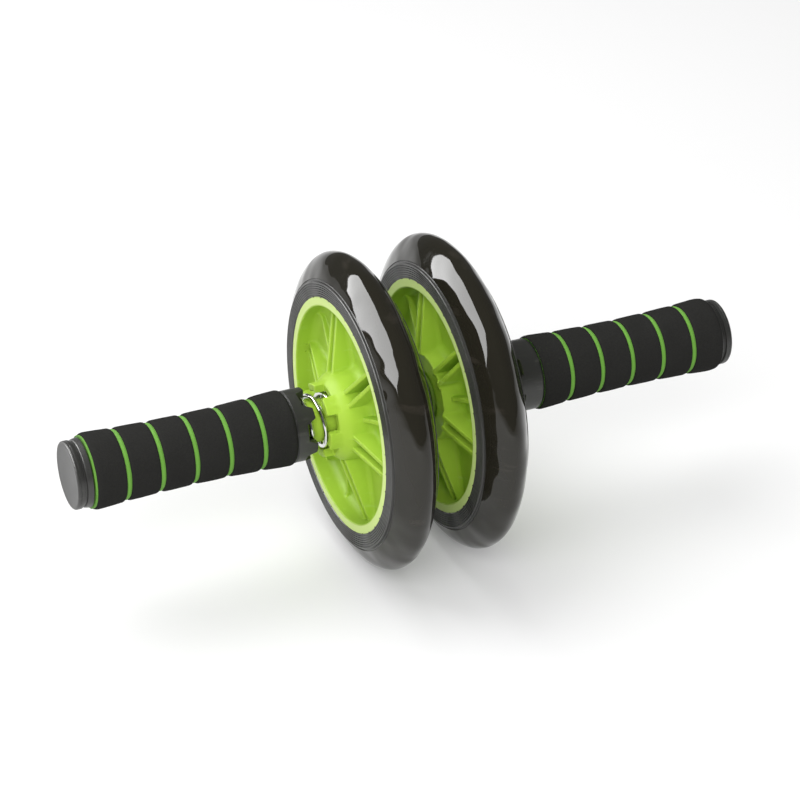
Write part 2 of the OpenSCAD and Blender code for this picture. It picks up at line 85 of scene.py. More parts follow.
# At each point of a rounding: how far it has gone from its first edge and has to go to its second.
ROUNDING = tuple((1 - math.cos(a), 1 - math.sin(a)) for a in ARC)


def reach(node, corner):
    """Distance of a CAD node's inner (0) or outer (1) end from the axle's middle."""
    ends = sorted(abs(p.x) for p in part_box(node))
    return ends[corner]


def wide(node):
    """Outer radius of a CAD node about the axle."""
    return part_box(node)[1].z


TYRE_MIDDLE = (reach("left_tyre", 0) + reach("left_tyre", 1)) / 2
GRIP_ENDS = {side: (reach(f"{side}_foam_ring_1", 0), reach(f"{side}_foam_ring_6", 1)) for side in SIDES}


def length(name, value, description):
    """A length property, given in millimetres."""
    return FloatProperty(name=name, description=description, default=value * MM, unit="LENGTH", precision=5)


def angle(name, value, description):
    """An angle property, given in degrees."""
    return FloatProperty(name=name, description=description, default=math.radians(value), unit="ROTATION")


def share(name, value, description):
    """A plain factor."""
    return FloatProperty(name=name, description=description, default=value, subtype="FACTOR")


def number(name, value, description):
    """A plain number."""
    return FloatProperty(name=name, description=description, default=value)


def colour(name, value, description):
    """A colour property, in scene linear values."""
    return FloatVectorProperty(name=name, description=description, default=value, subtype="COLOR", size=3)


class WheelSizes(bpy.types.PropertyGroup):
    """Sizes of the hubs and tyres."""

    rim_radius: length("Rim radius", 66.8, "Radius on which the tyre sits")
    rim_bore: length("Rim bore", 61.5, "Inner radius of the rim's ring")
    rim_half: length("Rim half width", 13.5, "Half the width of the rim")
    rim_edge: length("Rim edge", 0.8, "Rounding of the rim's edges")
    rim_round: length("Rim round", 5, "Round between the web and the rim")
    web_half: length("Web half thickness", 2.2, "Half the thickness of the web")
    boss_radius: length("Boss radius", 20.8, "Radius of the boss behind the brake teeth")
    boss_height: length("Boss height", 20.8, "Height of the floor between the brake teeth")
    boss_wall: length("Boss wall radius", 24.8, "Radius of the boss's wall between its shoulder and its foot")
    boss_shoulder: length("Boss shoulder", 15.6, "Height of the boss's shoulder")
    boss_foot: length("Boss foot", 5, "Round between the boss's wall and the web")
    rib_half: length("Rib half thickness", 1.35, "Half the thickness of a rib")
    rib_gap: length("Rib half gap at the boss", 4.1, "Half the distance between paired ribs at the boss")
    rib_gap_end: length("Rib half gap at the rim", 3.4, "Half the distance between paired ribs at the rim")
    rib_high: length("Rib height at the boss", 16, "Height of a rib where it starts")
    rib_low: length("Rib height at the rim", 6.0, "Height of a rib where it ends")
    single_start: length("Single rib start", 24, "Radius at which the single ribs rise")
    single_run: length("Single rib run", 3, "Radial length over which a single rib rises")
    single_share: share("Single rib height", 0.5, "Height of a single rib as a share of a paired one's")
    crest_round: length("Crest rounding", 0.7, "Rounding along the top of ribs and teeth")
    foot_round: length("Foot rounding", 1.0, "Fillet along the foot of ribs and teeth")
    outer_round: length("Outer rounding", 2.6, "Fillet along the outer foot of a pair of ribs")
    slot_start: length("Slot start", 25.4, "Radius at which the slot between paired ribs starts")
    slot_run: length("Slot run", 2.0, "Radial length over which the slot reaches the web")
    tooth_reach: length("Tooth height", 26.4, "Height of the brake teeth above the wheel's middle plane")
    tooth_angle: angle("Half tooth", 15, "Half the width of a brake tooth")
    pocket_radius: length("Pocket radius", 16.5, "Inner radius of the brake teeth")
    pocket_floor: length("Pocket floor", 15.4, "Height of the spring pocket's floor")
    neck_radius: length("Neck radius", 11.8, "Radius of the neck inside the spring")
    neck_reach: length("Neck height", 39.4, "Height of the neck's end")
    bore: length("Bore", 9.93, "Radius of the hub's bore")
    left_turn: angle("Left wheel's turn", 20.5, "Turn of the left wheel about the axle")
    right_turn: angle("Right wheel's turn", 98, "Turn of the right wheel about the axle")
    tyre_radius: length("Tyre radius", wide("left_tyre") / MM, "Outer radius of a tyre")
    side_rings: IntProperty(name="Side rings", description="Fine rings on a tyre's flat side", default=6)


class HandleSizes(bpy.types.PropertyGroup):
    """Sizes of the collars, springs, grips and end caps."""

    collar_radius: length("Collar radius", 20.2, "Outer radius of a collar")
    mouth_radius: length("Mouth radius", 16.0, "Inner radius of a collar's mouth")
    crown_height: length("Crown height", 5.2, "Length of the collar's teeth")
    tip_angle: angle("Half tip", 8.5, "Half the width of a collar tooth at its tip")
    root_angle: angle("Half root", 17, "Half the width of a collar tooth at its root")
    crown_turn: angle("Crown turn", 15, "Turn of the collar's teeth about the axle")
    lip: length("Lip", 0.45, "Depth of the step next to the foam")
    wire: length("Wire radius", 1.35, "Radius of the spring's wire")
    coil_radius: length("Coil radius", 14.5, "Radius of the middle of the wire")
    coil_pitch: length("Coil pitch", 7.9, "Rise of one working turn")
    closed_pitch: length("Closed pitch", 2.8, "Rise of the closed turn at each end")
    coil_turns: number("Coil turns", 1.75, "Number of working turns")
    coil_start: angle("Coil start", 5.8, "Turn of the wire's inner end about the axle")
    waist: length("Waist radius", 19.4, "Radius of the grip halfway along")
    end_flare: length("End flare", 1.9, "How much thicker the grip is at its ends")
    foam: length("Foam", 1.15, "Thickness of the foam rings")
    swell: length("Swell", 0.5, "How far the sleeve swells up in a groove")
    edge_run: length("Edge run", 1.7, "Length of the rounding at a groove")
    tube: length("Tube radius", 16.55, "Inner radius of the sleeve")
    cap_radius: length("Cap radius", 18.9, "Radius of a cap's end disc")
    cap_disc: length("Cap disc", 3.8, "Thickness of the end disc")
    cap_groove: length("Cap groove", 1.5, "Width of the groove behind the disc")
    cap_groove_radius: length("Cap groove radius", 17.6, "Radius of the bottom of that groove")
    cap_flange: length("Cap flange", 3.4, "Thickness of the flange against the grip")
    cap_flange_radius: length("Cap flange radius", 19.3, "Radius of that flange")


class Colours(bpy.types.PropertyGroup):
    """Colours of the finishes."""

    lime: colour("Lime plastic", (0.37, 0.57, 0.05), "Hubs")
    rubber: colour("Tyre rubber", (0.017, 0.0155, 0.0105), "Tyres")
    foam: colour("Black foam", (0.025, 0.0248, 0.0235), "Foam rings")
    sleeve: colour("Green sleeve", (0.15, 0.37, 0.055), "Sleeve in the grooves")
    plastic: colour("Black plastic", (0.026, 0.026, 0.024), "Collars and caps")
    chrome: colour("Chrome", (0.78, 0.78, 0.78), "Springs")
    steel: colour("Steel", (0.52, 0.52, 0.53), "Axle and fixings")
    bush: colour("Bush plastic", (0.12, 0.2, 0.03), "Bushes")
    # The ring's paler colour is a painted sheen on the rim's faces.
    lime_ring_sheen: colour("Lime ring", (0.78, 0.9, 0.42), "Ring on the rim's faces")
    lime_worn: colour("Worn lime", (0.7, 0.85, 0.4), "Scuffs on the hubs")
    rubber_side: colour("Rubber side", (0.045, 0.045, 0.043), "Flat side of a tyre")
    rubber_dust: colour("Rubber dust", (0.05, 0.042, 0.034), "Scuffs on a tyre")
    # Painted shade that darkens the hollow of each foam cell.
    foam_pit_shade: colour("Foam pits", (0.012, 0.012, 0.011), "Pits in the foam")
    plastic_dust: colour("Plastic dust", (0.07, 0.068, 0.062), "Scuffs on collars and caps")


class StageSettings(bpy.types.PropertyGroup):
    """Camera and lights."""

    azimuth: angle("Camera azimuth", -23.644, "Turn of the camera about the object")
    elevation: angle("Camera elevation", 30.521, "Height of the camera above the horizon")
    distance: length("Camera distance", 1779.827, "Distance from the camera to the object")
    aim_right: length("Aim right", -2.552, "Shift of the aim to the right")
    aim_up: length("Aim up", 0.437, "Shift of the aim upwards")
    lens: number("Lens", 144.0, "Focal length in millimetres")
    key: number("Key light", 17.0, "Power of the large soft light")
    front: number("Front light", 16.0, "Power of the soft light near the camera")
    panel: number("Softbox", 48.0, "Power of the softbox that shines on gloss")
    fill: share("Fill", 0.55, "Strength of the light from all round")
    room: share("Dark room", 0.13, "Strength of the dark room that gloss shows")
    floor_tone: share("Floor tone", 0.73, "Brightness of the floor")
    floor_glow: share("Floor glow", 0.15, "White that is added to the floor where it is seen")


SETTINGS = {
    "roller_wheel": WheelSizes,
    "roller_handle": HandleSizes,
    "roller_colours": Colours,
    "roller_stage": StageSettings,
}


# Modelling


def mix(a, b, part):
    """A value between a and b."""
    return a + (b - a) * part


def at(place, radius, turn):
    """The point at a place outwards on the left, a radius and a turn about the axle."""
    return Vector((-place, radius * math.sin(turn), radius * math.cos(turn)))


def ease(t):
    """0 below 0, 1 above 1, and smooth between."""
    t = min(max(t, 0.0), 1.0)
    return t * t * (3 - 2 * t)


def make_active(obj):
    """Selects one object and nothing else."""
    bpy.ops.object.select_all(action="DESELECT")
    obj.select_set(True)
    bpy.context.view_layer.objects.active = obj


def edit_all(obj):
    """Enters edit mode with the whole mesh selected."""
    make_active(obj)
    bpy.ops.object.mode_set(mode="EDIT")
    bpy.ops.mesh.select_all(action="SELECT")


def close_up(obj):
    """Merges doubled points, turns the faces outwards and leaves edit mode."""
    bpy.ops.mesh.select_all(action="SELECT")
    bpy.ops.mesh.remove_doubles(threshold=0.002 * MM)
    bpy.ops.mesh.dissolve_degenerate(threshold=0.001 * MM)
    bpy.ops.mesh.normals_make_consistent(inside=False)
    bpy.ops.object.mode_set(mode="OBJECT")
    return obj


def turned(name, outline, steps, solid=False):
    """Spins an outline of (place outwards, radius) about the axle. A solid one begins and ends on it."""
    bpy.ops.object.select_all(action="DESELECT")
    bpy.ops.mesh.primitive_circle_add(vertices=len(outline), radius=1)
    obj = bpy.context.object
    obj.name = obj.data.name = name
    for point, (place, radius) in zip(obj.data.vertices, outline):
        point.co = (-place, 0, radius)
    if solid:
        open_between(obj, {0, len(outline) - 1})
    edit_all(obj)
    bpy.ops.mesh.spin(steps=steps, angle=math.tau, center=(0, 0, 0), axis=(1, 0, 0))
    return close_up(obj)


def open_between(obj, ends):
    """Deletes the edge between two points."""
    make_active(obj)
    bpy.ops.object.mode_set(mode="EDIT")
    bpy.ops.mesh.select_mode(type="EDGE")
    bpy.ops.mesh.select_all(action="DESELECT")
    bpy.ops.object.mode_set(mode="OBJECT")
    for edge in obj.data.edges:
        edge.select = set(edge.vertices) == ends
    bpy.ops.object.mode_set(mode="EDIT")
    bpy.ops.mesh.delete(type="EDGE")
    bpy.ops.mesh.select_mode(type="VERT")
    bpy.ops.object.mode_set(mode="OBJECT")


def formed(name, rows, columns, place):
    """Forms a grid into half a sector: place(row, column) gives a point, with the sector's middle along Z."""
    bpy.ops.object.select_all(action="DESELECT")
    bpy.ops.mesh.primitive_grid_add(x_subdivisions=columns - 1, y_subdivisions=rows - 1, size=1)
    obj = bpy.context.object
    obj.name = obj.data.name = name
    for point in obj.data.vertices:
        column = round((point.co.x + 0.5) * (columns - 1))
        row = round((point.co.y + 0.5) * (rows - 1))
        point.co = place(row, column)
    return obj


def all_round(obj, count, flip=(1, -1, 1)):
    """Adds a mirror image, repeats both round the axle and closes the seams."""
    edit_all(obj)
    bpy.ops.mesh.duplicate()
    bpy.ops.transform.resize(value=flip, center_override=(0, 0, 0))
    bpy.ops.mesh.select_all(action="SELECT")
    bpy.ops.mesh.normals_make_consistent(inside=False)
    bpy.ops.mesh.spin(
        steps=count - 1, dupli=True, angle=math.tau * (count - 1) / count, center=(0, 0, 0), axis=(1, 0, 0)
    )
    return close_up(obj)


def settle(obj, matrix):
    """Turns a piece and puts the turn into its mesh."""
    make_active(obj)
    obj.matrix_world = matrix
    bpy.ops.object.transform_apply(location=True, rotation=True, scale=True)
    return obj


def bridge_ends(obj):
    """Joins the first and last row of a formed ring, which are its open edges."""
    make_active(obj)
    bpy.ops.object.mode_set(mode="EDIT")
    bpy.ops.mesh.select_mode(type="EDGE")
    bpy.ops.mesh.select_all(action="DESELECT")
    bpy.ops.mesh.select_non_manifold(extend=False)
    bpy.ops.mesh.bridge_edge_loops()
    return close_up(obj)


def even_normals(obj):
    """Smooth shading that keeps broad faces flat beside their rounded edges."""
    make_active(obj)
    bpy.ops.object.shade_smooth()
    bpy.ops.object.modifier_add(type="WEIGHTED_NORMAL")
    obj.modifiers[-1].weight = 60
    bpy.ops.object.modifier_apply(modifier=obj.modifiers[-1].name)
    return obj


def smooth(obj, degrees):
    """Smooth shading with edges sharper than an angle left crisp."""
    make_active(obj)
    bpy.ops.object.shade_smooth_by_angle(angle=math.radians(degrees))
    return obj


def uneven(obj, size, depth, name):
    """Gives a soft piece the slight unevenness of foam."""
    clouds = bpy.data.textures.new(name, "CLOUDS")
    clouds.noise_scale = size
    clouds.noise_depth = 2
    make_active(obj)
    bpy.ops.object.modifier_add(type="DISPLACE")
    lumps = obj.modifiers[-1]
    lumps.texture = clouds
    lumps.texture_coords = "LOCAL"
    lumps.strength = depth
    lumps.mid_level = 0.5
    bpy.ops.object.modifier_apply(modifier=lumps.name)
    bpy.data.textures.remove(clouds)
    return obj


def to_other_side(obj, name, turn=0.0):
    """Copies a left piece, mesh and all, to the right side, and turns it about the axle."""
    make_active(obj)
    bpy.ops.object.duplicate()
    copy = bpy.context.object
    copy.name = copy.data.name = name
    return settle(copy, Matrix.Rotation(turn, 4, "X") @ Matrix.Rotation(math.pi, 4, "Y"))


def put_on(obj, body, nodes, material):
    """Rides a finished piece on its body in place of its CAD nodes, with its finish."""
    obj.data.materials.clear()
    obj.data.materials.append(material)
    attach(obj, body)
    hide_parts(*nodes)
    return obj


# Finishes


def feed(tree, socket, value):
    """Links a socket to another one, or gives it a value."""
    if isinstance(value, bpy.types.NodeSocket):
        tree.links.new(value, socket)
    elif socket.type == "RGBA" and len(value) == 3:
        socket.default_value = (*value, 1)
    else:
        socket.default_value = value


def add(tree, kind, inputs=None, **settings):
    """Adds a node, sets it up, and feeds its inputs."""
    node = tree.nodes.new(kind)
    for key, value in settings.items():
        setattr(node, key, value)
    for key, value in (inputs or {}).items():
        feed(tree, node.inputs[key], value)
    return node


def maths(tree, operation, a, b=0.0, c=0.0, clamp=False):
    """Adds a Math node and returns its value."""
    return add(tree, "ShaderNodeMath", {0: a, 1: b, 2: c}, operation=operation, use_clamp=clamp).outputs[0]


def blend(tree, part, a, b):
    """Adds a colour Mix node and returns its colour."""
    return add(tree, "ShaderNodeMix", {0: part, 6: a, 7: b}, data_type="RGBA").outputs[2]


def object_place(tree):
    """The place on a piece, in the object's own coordinates."""
    return add(tree, "ShaderNodeTexCoord").outputs["Object"]


def noise(tree, place, scale, detail):
    """Adds a Noise texture and returns its value."""
    return add(tree, "ShaderNodeTexNoise", {"Vector": place, "Scale": scale, "Detail": detail}).outputs["Fac"]


def new_group(name, inputs, outputs):
    """Starts a shader node group with named sockets: F is a number and C a colour."""
    kinds = {"F": "NodeSocketFloat", "C": "NodeSocketColor"}
    group = bpy.data.node_groups.new(name, "ShaderNodeTree")
    for way, sockets in (("INPUT", inputs), ("OUTPUT", outputs)):
        for label, kind in sockets.items():
            group.interface.new_socket(label, in_out=way, socket_type=kinds[kind])
    return group, group.nodes.new("NodeGroupInput").outputs, group.nodes.new("NodeGroupOutput").inputs


def mottle_group():
    """Soft mottling of a moulded surface: colour, roughness and a fine grain."""
    inputs = {"Colour": "C", "Scale": "F", "Shade": "F", "Roughness": "F", "Spread": "F", "Grain": "F"}
    group, given, made = new_group("Mottle", inputs, {"Colour": "C", "Roughness": "F", "Height": "F"})
    place = object_place(group)
    broad = noise(group, place, given["Scale"], detail=3.0)
    darkest = add(group, "ShaderNodeVectorMath", {0: given["Colour"], "Scale": 0.55}, operation="SCALE")
    depth = maths(group, "MULTIPLY", broad, given["Shade"])
    group.links.new(blend(group, depth, given["Colour"], darkest.outputs[0]), made["Colour"])
    swing = maths(group, "SUBTRACT", broad, 0.5)
    rough = maths(group, "MULTIPLY_ADD", swing, given["Spread"], given["Roughness"])
    group.links.new(rough, made["Roughness"])
    group.links.new(noise(group, place, given["Grain"], detail=2.0), made["Height"])
    return group


def band_group():
    """1 between two radii about the axle, with soft edges, and 0 elsewhere."""
    inputs = {"Inner": "F", "Outer": "F", "Softness": "F"}
    group, given, made = new_group("Radius band", inputs, {"Mask": "F"})
    across = (0, 1, 1)
    flat = add(group, "ShaderNodeVectorMath", {0: object_place(group), 1: across}, operation="MULTIPLY")
    radius = add(group, "ShaderNodeVectorMath", {0: flat.outputs[0]}, operation="LENGTH").outputs["Value"]
    low = maths(group, "SUBTRACT", radius, given["Inner"])
    high = maths(group, "SUBTRACT", given["Outer"], radius)
    nearest = maths(group, "MINIMUM", low, high)
    group.links.new(maths(group, "DIVIDE", nearest, given["Softness"], clamp=True), made["Mask"])
    return group


def scuff_group():
    """Sparse scuffs and dust: a mask of thin patches."""
    group, given, made = new_group("Scuffs", {"Scale": "F", "Amount": "F"}, {"Mask": "F"})
    place, longer, tilt = object_place(group), (1.0, 1.0, 4.0), (0.4, 0.2, 0.7)
    drawn = add(group, "ShaderNodeMapping", {"Vector": place, "Scale": longer, "Rotation": tilt})
    patches = noise(group, drawn.outputs[0], given["Scale"], detail=6.0)
    threshold, contrast = 0.6, 9.0
    sharp = maths(group, "MULTIPLY", maths(group, "SUBTRACT", patches, threshold), contrast, clamp=True)
    group.links.new(maths(group, "MULTIPLY", sharp, given["Amount"]), made["Mask"])
    return group


def cell_group():
    """Open cells of foam: a height for the cells with thin walls between them, and a mask that paints shade
    into each pit.
    """
    group, given, made = new_group("Foam cells", {"Scale": "F"}, {"Height": "F", "Pit shade": "F"})
    place = object_place(group)
    cells = add(group, "ShaderNodeTexVoronoi", {"Vector": place, "Scale": given["Scale"]}, feature="F1")
    skin = noise(group, place, scale=260.0, detail=4.0)
    skin_share, pit_slope = 0.6, -1.4
    group.links.new(maths(group, "MULTIPLY_ADD", skin, skin_share, cells.outputs["Distance"]), made["Height"])
    # Mask for painted shade, darkest in the middle of each cell.
    pit_shade = maths(group, "MULTIPLY_ADD", cells.outputs["Distance"], pit_slope, 1.0, clamp=True)
    group.links.new(pit_shade, made["Pit shade"])
    return group


EFFECTS = {"Mottle": mottle_group, "Radius band": band_group, "Scuffs": scuff_group, "Foam cells": cell_group}


def effect(tree, name, inputs):
    """Puts a shared effect, made when first asked for, into a material, and returns its outputs."""
    group = bpy.data.node_groups.get(name) or EFFECTS[name]()
    return add(tree, "ShaderNodeGroup", inputs, node_tree=group).outputs


def new_material(name, **constants):
    """A material with a Principled shader, and its constants on the shader's own sockets."""
    material = bpy.data.materials.new(name)
    material.use_nodes = True
    tree = material.node_tree
    shader = tree.nodes["Principled BSDF"]
    for key, value in constants.items():
        shader.inputs[key.replace("_", " ")].default_value = value
    return material, tree, shader


def bump(tree, shader, height, strength, distance):
    """Feeds a height into the shader's normal."""
    node = add(tree, "ShaderNodeBump", {"Height": height, "Strength": strength, "Distance": distance})
    tree.links.new(node.outputs[0], shader.inputs["Normal"])


def mottled(name, base, mottling, **constants):
    """A material with mottled colour and roughness, and the mottling's outputs for further use."""
    material, tree, shader = new_material(name, **constants)
    mottle = effect(tree, "Mottle", {"Colour": tuple(base), **mottling})
    tree.links.new(mottle["Colour"], shader.inputs["Base Color"])
    tree.links.new(mottle["Roughness"], shader.inputs["Roughness"])
    return material, tree, shader, mottle


def lime_plastic(paint):
    """Lime green moulded plastic, with a painted sheen that makes the ring on the rim's faces paler, and a
    duller finish there.
    """
    mottling = {"Scale": 26.0, "Shade": 0.12, "Roughness": 0.52, "Spread": 0.12, "Grain": 900.0}
    gloss = {"IOR": 1.43, "Specular_IOR_Level": 0.2}
    material, tree, shader, mottle = mottled("lime_plastic", paint.lime, mottling, **gloss)
    ring = effect(tree, "Radius band", {"Inner": 61.9 * MM, "Outer": 67.6 * MM, "Softness": 0.7 * MM})["Mask"]
    scuffs = effect(tree, "Scuffs", {"Scale": 60.0, "Amount": 0.12})["Mask"]
    # The ring's paler colour is a painted sheen; its extra roughness is the face's real duller finish.
    ring_sheen_share, ring_rough = 0.6, 0.15
    pale_sheen = blend(tree, maths(tree, "MULTIPLY", ring, ring_sheen_share), mottle["Colour"], tuple(paint.lime_ring_sheen))
    tree.links.new(blend(tree, scuffs, pale_sheen, tuple(paint.lime_worn)), shader.inputs["Base Color"])
    rough = maths(tree, "MULTIPLY_ADD", ring, ring_rough, mottle["Roughness"])
    tree.links.new(rough, shader.inputs["Roughness"])
    bump(tree, shader, mottle["Height"], strength=0.08, distance=0.05 * MM)
    return material


def polished_rubber(paint):
    """Dark polished rubber with faint waves, and a duller flat side."""
    mottling = {"Scale": 14.0, "Shade": 0.5, "Roughness": 0.05, "Spread": 0.04, "Grain": 1400.0}
    material, tree, shader, mottle = mottled("polished_rubber", paint.rubber, mottling, IOR=1.44)
    side = effect(tree, "Radius band", {"Inner": 66.0 * MM, "Outer": 77.0 * MM, "Softness": 1.0 * MM})["Mask"]
    scuffs = effect(tree, "Scuffs", {"Scale": 34.0, "Amount": 0.35})["Mask"]
    side_share, side_rough, scuff_rough, grain_share = 0.8, 0.28, 0.12, 0.001
    dusty = blend(tree, scuffs, mottle["Colour"], tuple(paint.rubber_dust))
    grey = blend(tree, maths(tree, "MULTIPLY", side, side_share), dusty, tuple(paint.rubber_side))
    tree.links.new(grey, shader.inputs["Base Color"])
    dull = maths(tree, "MULTIPLY_ADD", side, side_rough, mottle["Roughness"])
    tree.links.new(maths(tree, "MULTIPLY_ADD", scuffs, scuff_rough, dull), shader.inputs["Roughness"])
    waves = noise(tree, object_place(tree), scale=40.0, detail=1.0)
    height = maths(tree, "MULTIPLY_ADD", mottle["Height"], grain_share, waves)
    bump(tree, shader, height, strength=1.0, distance=2.0 * MM)
    return material


def matte_foam(paint):
    """Matte black foam with fine open cells, each pit darkened with painted shade."""
    mottling = {"Scale": 60.0, "Shade": 0.5, "Roughness": 0.9, "Spread": 0.1, "Grain": 700.0}
    gloss = {"IOR": 1.35, "Specular_IOR_Level": 0.05}
    material, tree, shader, mottle = mottled("matte_foam", paint.foam, mottling, **gloss)
    cells = effect(tree, "Foam cells", {"Scale": 1100.0})
    # Painted shade in each cell's hollow.
    pit_shade_share = 0.35
    pit_shade = maths(tree, "MULTIPLY", cells["Pit shade"], pit_shade_share)
    tree.links.new(blend(tree, pit_shade, mottle["Colour"], tuple(paint.foam_pit_shade)), shader.inputs["Base Color"])
    bump(tree, shader, cells["Height"], strength=0.5, distance=0.25 * MM)
    return material


def sleeve_foam(paint):
    """Green foam of the sleeve, duller and darker than the hubs."""
    mottling = {"Scale": 90.0, "Shade": 0.5, "Roughness": 0.75, "Spread": 0.2, "Grain": 700.0}
    gloss = {"IOR": 1.4, "Specular_IOR_Level": 0.3}
    material, tree, shader, _ = mottled("sleeve_foam", paint.sleeve, mottling, **gloss)
    cells = effect(tree, "Foam cells", {"Scale": 900.0})
    bump(tree, shader, cells["Height"], strength=0.4, distance=0.2 * MM)
    return material


def satin_black(paint):
    """Satin black moulded plastic with dusty scuffs."""
    mottling = {"Scale": 40.0, "Shade": 0.4, "Roughness": 0.42, "Spread": 0.15, "Grain": 1500.0}
    gloss = {"IOR": 1.5, "Specular_IOR_Level": 0.6}
    material, tree, shader, mottle = mottled("satin_black", paint.plastic, mottling, **gloss)
    scuffs = effect(tree, "Scuffs", {"Scale": 90.0, "Amount": 0.4})["Mask"]
    dusty = blend(tree, scuffs, mottle["Colour"], tuple(paint.plastic_dust))
    tree.links.new(dusty, shader.inputs["Base Color"])
    bump(tree, shader, mottle["Height"], strength=0.25, distance=0.06 * MM)
    return material


def chrome_wire(paint):
    """Bright chrome with faint smears."""
    mottling = {"Scale": 120.0, "Shade": 0.3, "Roughness": 0.1, "Spread": 0.1, "Grain": 900.0}
    return mottled("chrome_wire", paint.chrome, mottling, Metallic=1.0)[0]


def turned_steel(paint):
    """Turned steel with fine rings about the axle."""
    mottling = {"Scale": 80.0, "Shade": 0.4, "Roughness": 0.32, "Spread": 0.15, "Grain": 1100.0}
    material, tree, shader, _ = mottled("turned_steel", paint.steel, mottling, Metallic=1.0)
    longer = (1.0, 0.02, 0.02)
    rings = add(tree, "ShaderNodeMapping", {"Vector": object_place(tree), "Scale": longer})
    lines = noise(tree, rings.outputs[0], scale=2600.0, detail=2.0)
    bump(tree, shader, lines, strength=0.2, distance=0.03 * MM)
    return material


def bearing_plastic(paint):
    """Slippery green bearing plastic, darker than the hubs."""
    mottling = {"Scale": 70.0, "Shade": 0.2, "Roughness": 0.45, "Spread": 0.1, "Grain": 900.0}
    gloss = {"IOR": 1.5, "Specular_IOR_Level": 0.2}
    material, tree, shader, mottle = mottled("bearing_plastic", paint.bush, mottling, **gloss)
    bump(tree, shader, mottle["Height"], strength=0.15, distance=0.05 * MM)
    return material


MADE = {}


def finish(maker):
    """The finish that a function makes, made when first asked for."""
    if maker not in MADE:
        MADE[maker] = maker(bpy.context.scene.roller_colours)
    return MADE[maker]


# Crowns


class Crown:
    """A ring of teeth: how the columns of half a sector lie over half a tooth and half a gap."""

    def __init__(self, top_columns, floor_columns, top_edge, foot_edge, crest, foot):
        self.top_columns, self.floor_columns = top_columns, floor_columns
        self.top_edge, self.foot_edge = top_edge, foot_edge
        self.crest, self.foot = crest, foot
        self.columns = top_columns + 2 * len(ARC) + floor_columns

    def part(self, column):
        """The part of the crown that a column is on, from the top to the floor, and its number there."""
        for name, count in (("top", self.top_columns), ("crest", len(ARC)), ("foot", len(ARC))):
            if column < count:
                return name, column
            column -= count
        return "floor", column

    def turn(self, column, radius):
        """Angle of a column from the middle of a tooth."""
        part, i = self.part(column)
        if part == "top":
            return (self.top_edge - self.crest / radius) * i / self.top_columns
        if part == "crest":
            return self.top_edge - self.crest / radius * ROUNDING[i][1]
        if part == "foot":
            return self.foot_edge + self.foot / radius * ROUNDING[-1 - i][1]
        return mix(self.foot_edge + self.foot / radius, HALF_SECTOR, (i + 1) / self.floor_columns)

    def height(self, column, floor, top):
        """Height of a column on the crown, from the floor of the gap to the tooth's top."""
        way = 1 if top > floor else -1
        part, i = self.part(column)
        if part == "top":
            return top
        if part == "crest":
            return top - way * self.crest * ROUNDING[i][0]
        if part == "foot":
            return floor + way * self.foot * ROUNDING[-1 - i][0]
        return floor


# Hubs


def rib_columns():
    """What each column from a pair's middle to the next gap's middle follows: pair, field or single rib."""
    side = [("foot", a) for a in ARC] + [("crest", a) for a in reversed(ARC)]
    columns = [("pair", None, "foot", 0.0)]
    columns += [("pair", -1, kind, a) for kind, a in side]
    columns += [("pair", 0, "crest", 0.0)]
    columns += [("pair", 1, kind, a) for kind, a in reversed(side)]
    columns += [("field", None, "field", part / 5) for part in (1, 2, 3, 4)]
    columns += [("single", 1, kind, a) for kind, a in side]
    columns += [("single", 0, "crest", 0.0)]
    return columns


COLUMNS = rib_columns()
LAST_PAIR = max(i for i, c in enumerate(COLUMNS) if c[0] == "pair")
FIRST_SINGLE = min(i for i, c in enumerate(COLUMNS) if c[0] == "single")


class Ribs:
    """Ribs on the hub's web, as a lift above it and a turn about the axle for each column."""

    # A rib's side leans by the first share of its height, and its roundings are at most the other two.
    lean = 0.03
    outer_share, inner_share = 0.8, 0.45

    def __init__(self, w, single):
        self.w, self.single = w, single

    def slot(self, radius, base):
        """How far the slot between paired ribs lies below the surface around them."""
        w = self.w
        return (base - w.web_half) * ease((radius - w.slot_start) / w.slot_run)

    def wall(self, family, radius, base):
        """Height of a rib above the surface under it."""
        w = self.w
        part = (radius - w.boss_radius) / (w.rim_bore - w.boss_radius)
        rise = max(0.0, mix(w.rib_high, w.rib_low, part) - base)
        if family == "single":
            rise *= w.single_share * ease((radius - w.single_start) / w.single_run) if self.single else 0.0
        return rise

    def fillet(self, way, wall):
        """Size of the fillet at a rib's foot, which is at most a share of the rib's height."""
        if way == 1:
            return min(self.w.outer_round, self.outer_share * wall)
        return min(self.w.foot_round, self.inner_share * wall)

    def off_middle(self, way, kind, a, wall):
        """Distance of a column from the rib's middle. The rib's side leans by a share of its height."""
        w = self.w
        if kind == "crest":
            return w.rib_half - w.crest_round * (1 - math.sin(a))
        foot = max(w.foot_round, self.fillet(way, wall))
        return w.rib_half + self.lean * wall + foot * (1 - math.sin(a))

    def turn(self, column, radius, base):
        """Angle of a column from the middle of the pair."""
        family, way, kind, a = COLUMNS[column]
        w = self.w
        if family == "field":
            start, end = self.turn(LAST_PAIR, radius, base), self.turn(FIRST_SINGLE, radius, base)
            return mix(start, end, a)
        if way is None:
            return 0.0
        side = way if family == "pair" else 0
        off = self.off_middle(side, kind, a, self.wall(family, radius, base)) if way else 0.0
        if family == "pair":
            part = min(max((radius - w.boss_radius) / (w.rim_bore - w.boss_radius), 0.0), 1.0)
            return math.asin((mix(w.rib_gap, w.rib_gap_end, part) + way * off) / radius)
        return HALF_SECTOR - math.asin(off / radius)

    def lift(self, column, radius, base):
        """Height of a column above the surface under the ribs."""
        family, way, kind, a = COLUMNS[column]
        if family == "field":
            return 0.0
        wall = self.wall(family, radius, base)
        crest = min(self.w.crest_round, self.inner_share * wall)
        if way is None:
            return -self.slot(radius, base)
        if kind == "crest":
            return wall - crest * (1 - math.cos(a))
        sunk = self.slot(radius, base) if way == -1 else 0.0
        side = way if family == "pair" else 0
        return self.fillet(side, wall) * (1 - math.cos(a)) - sunk


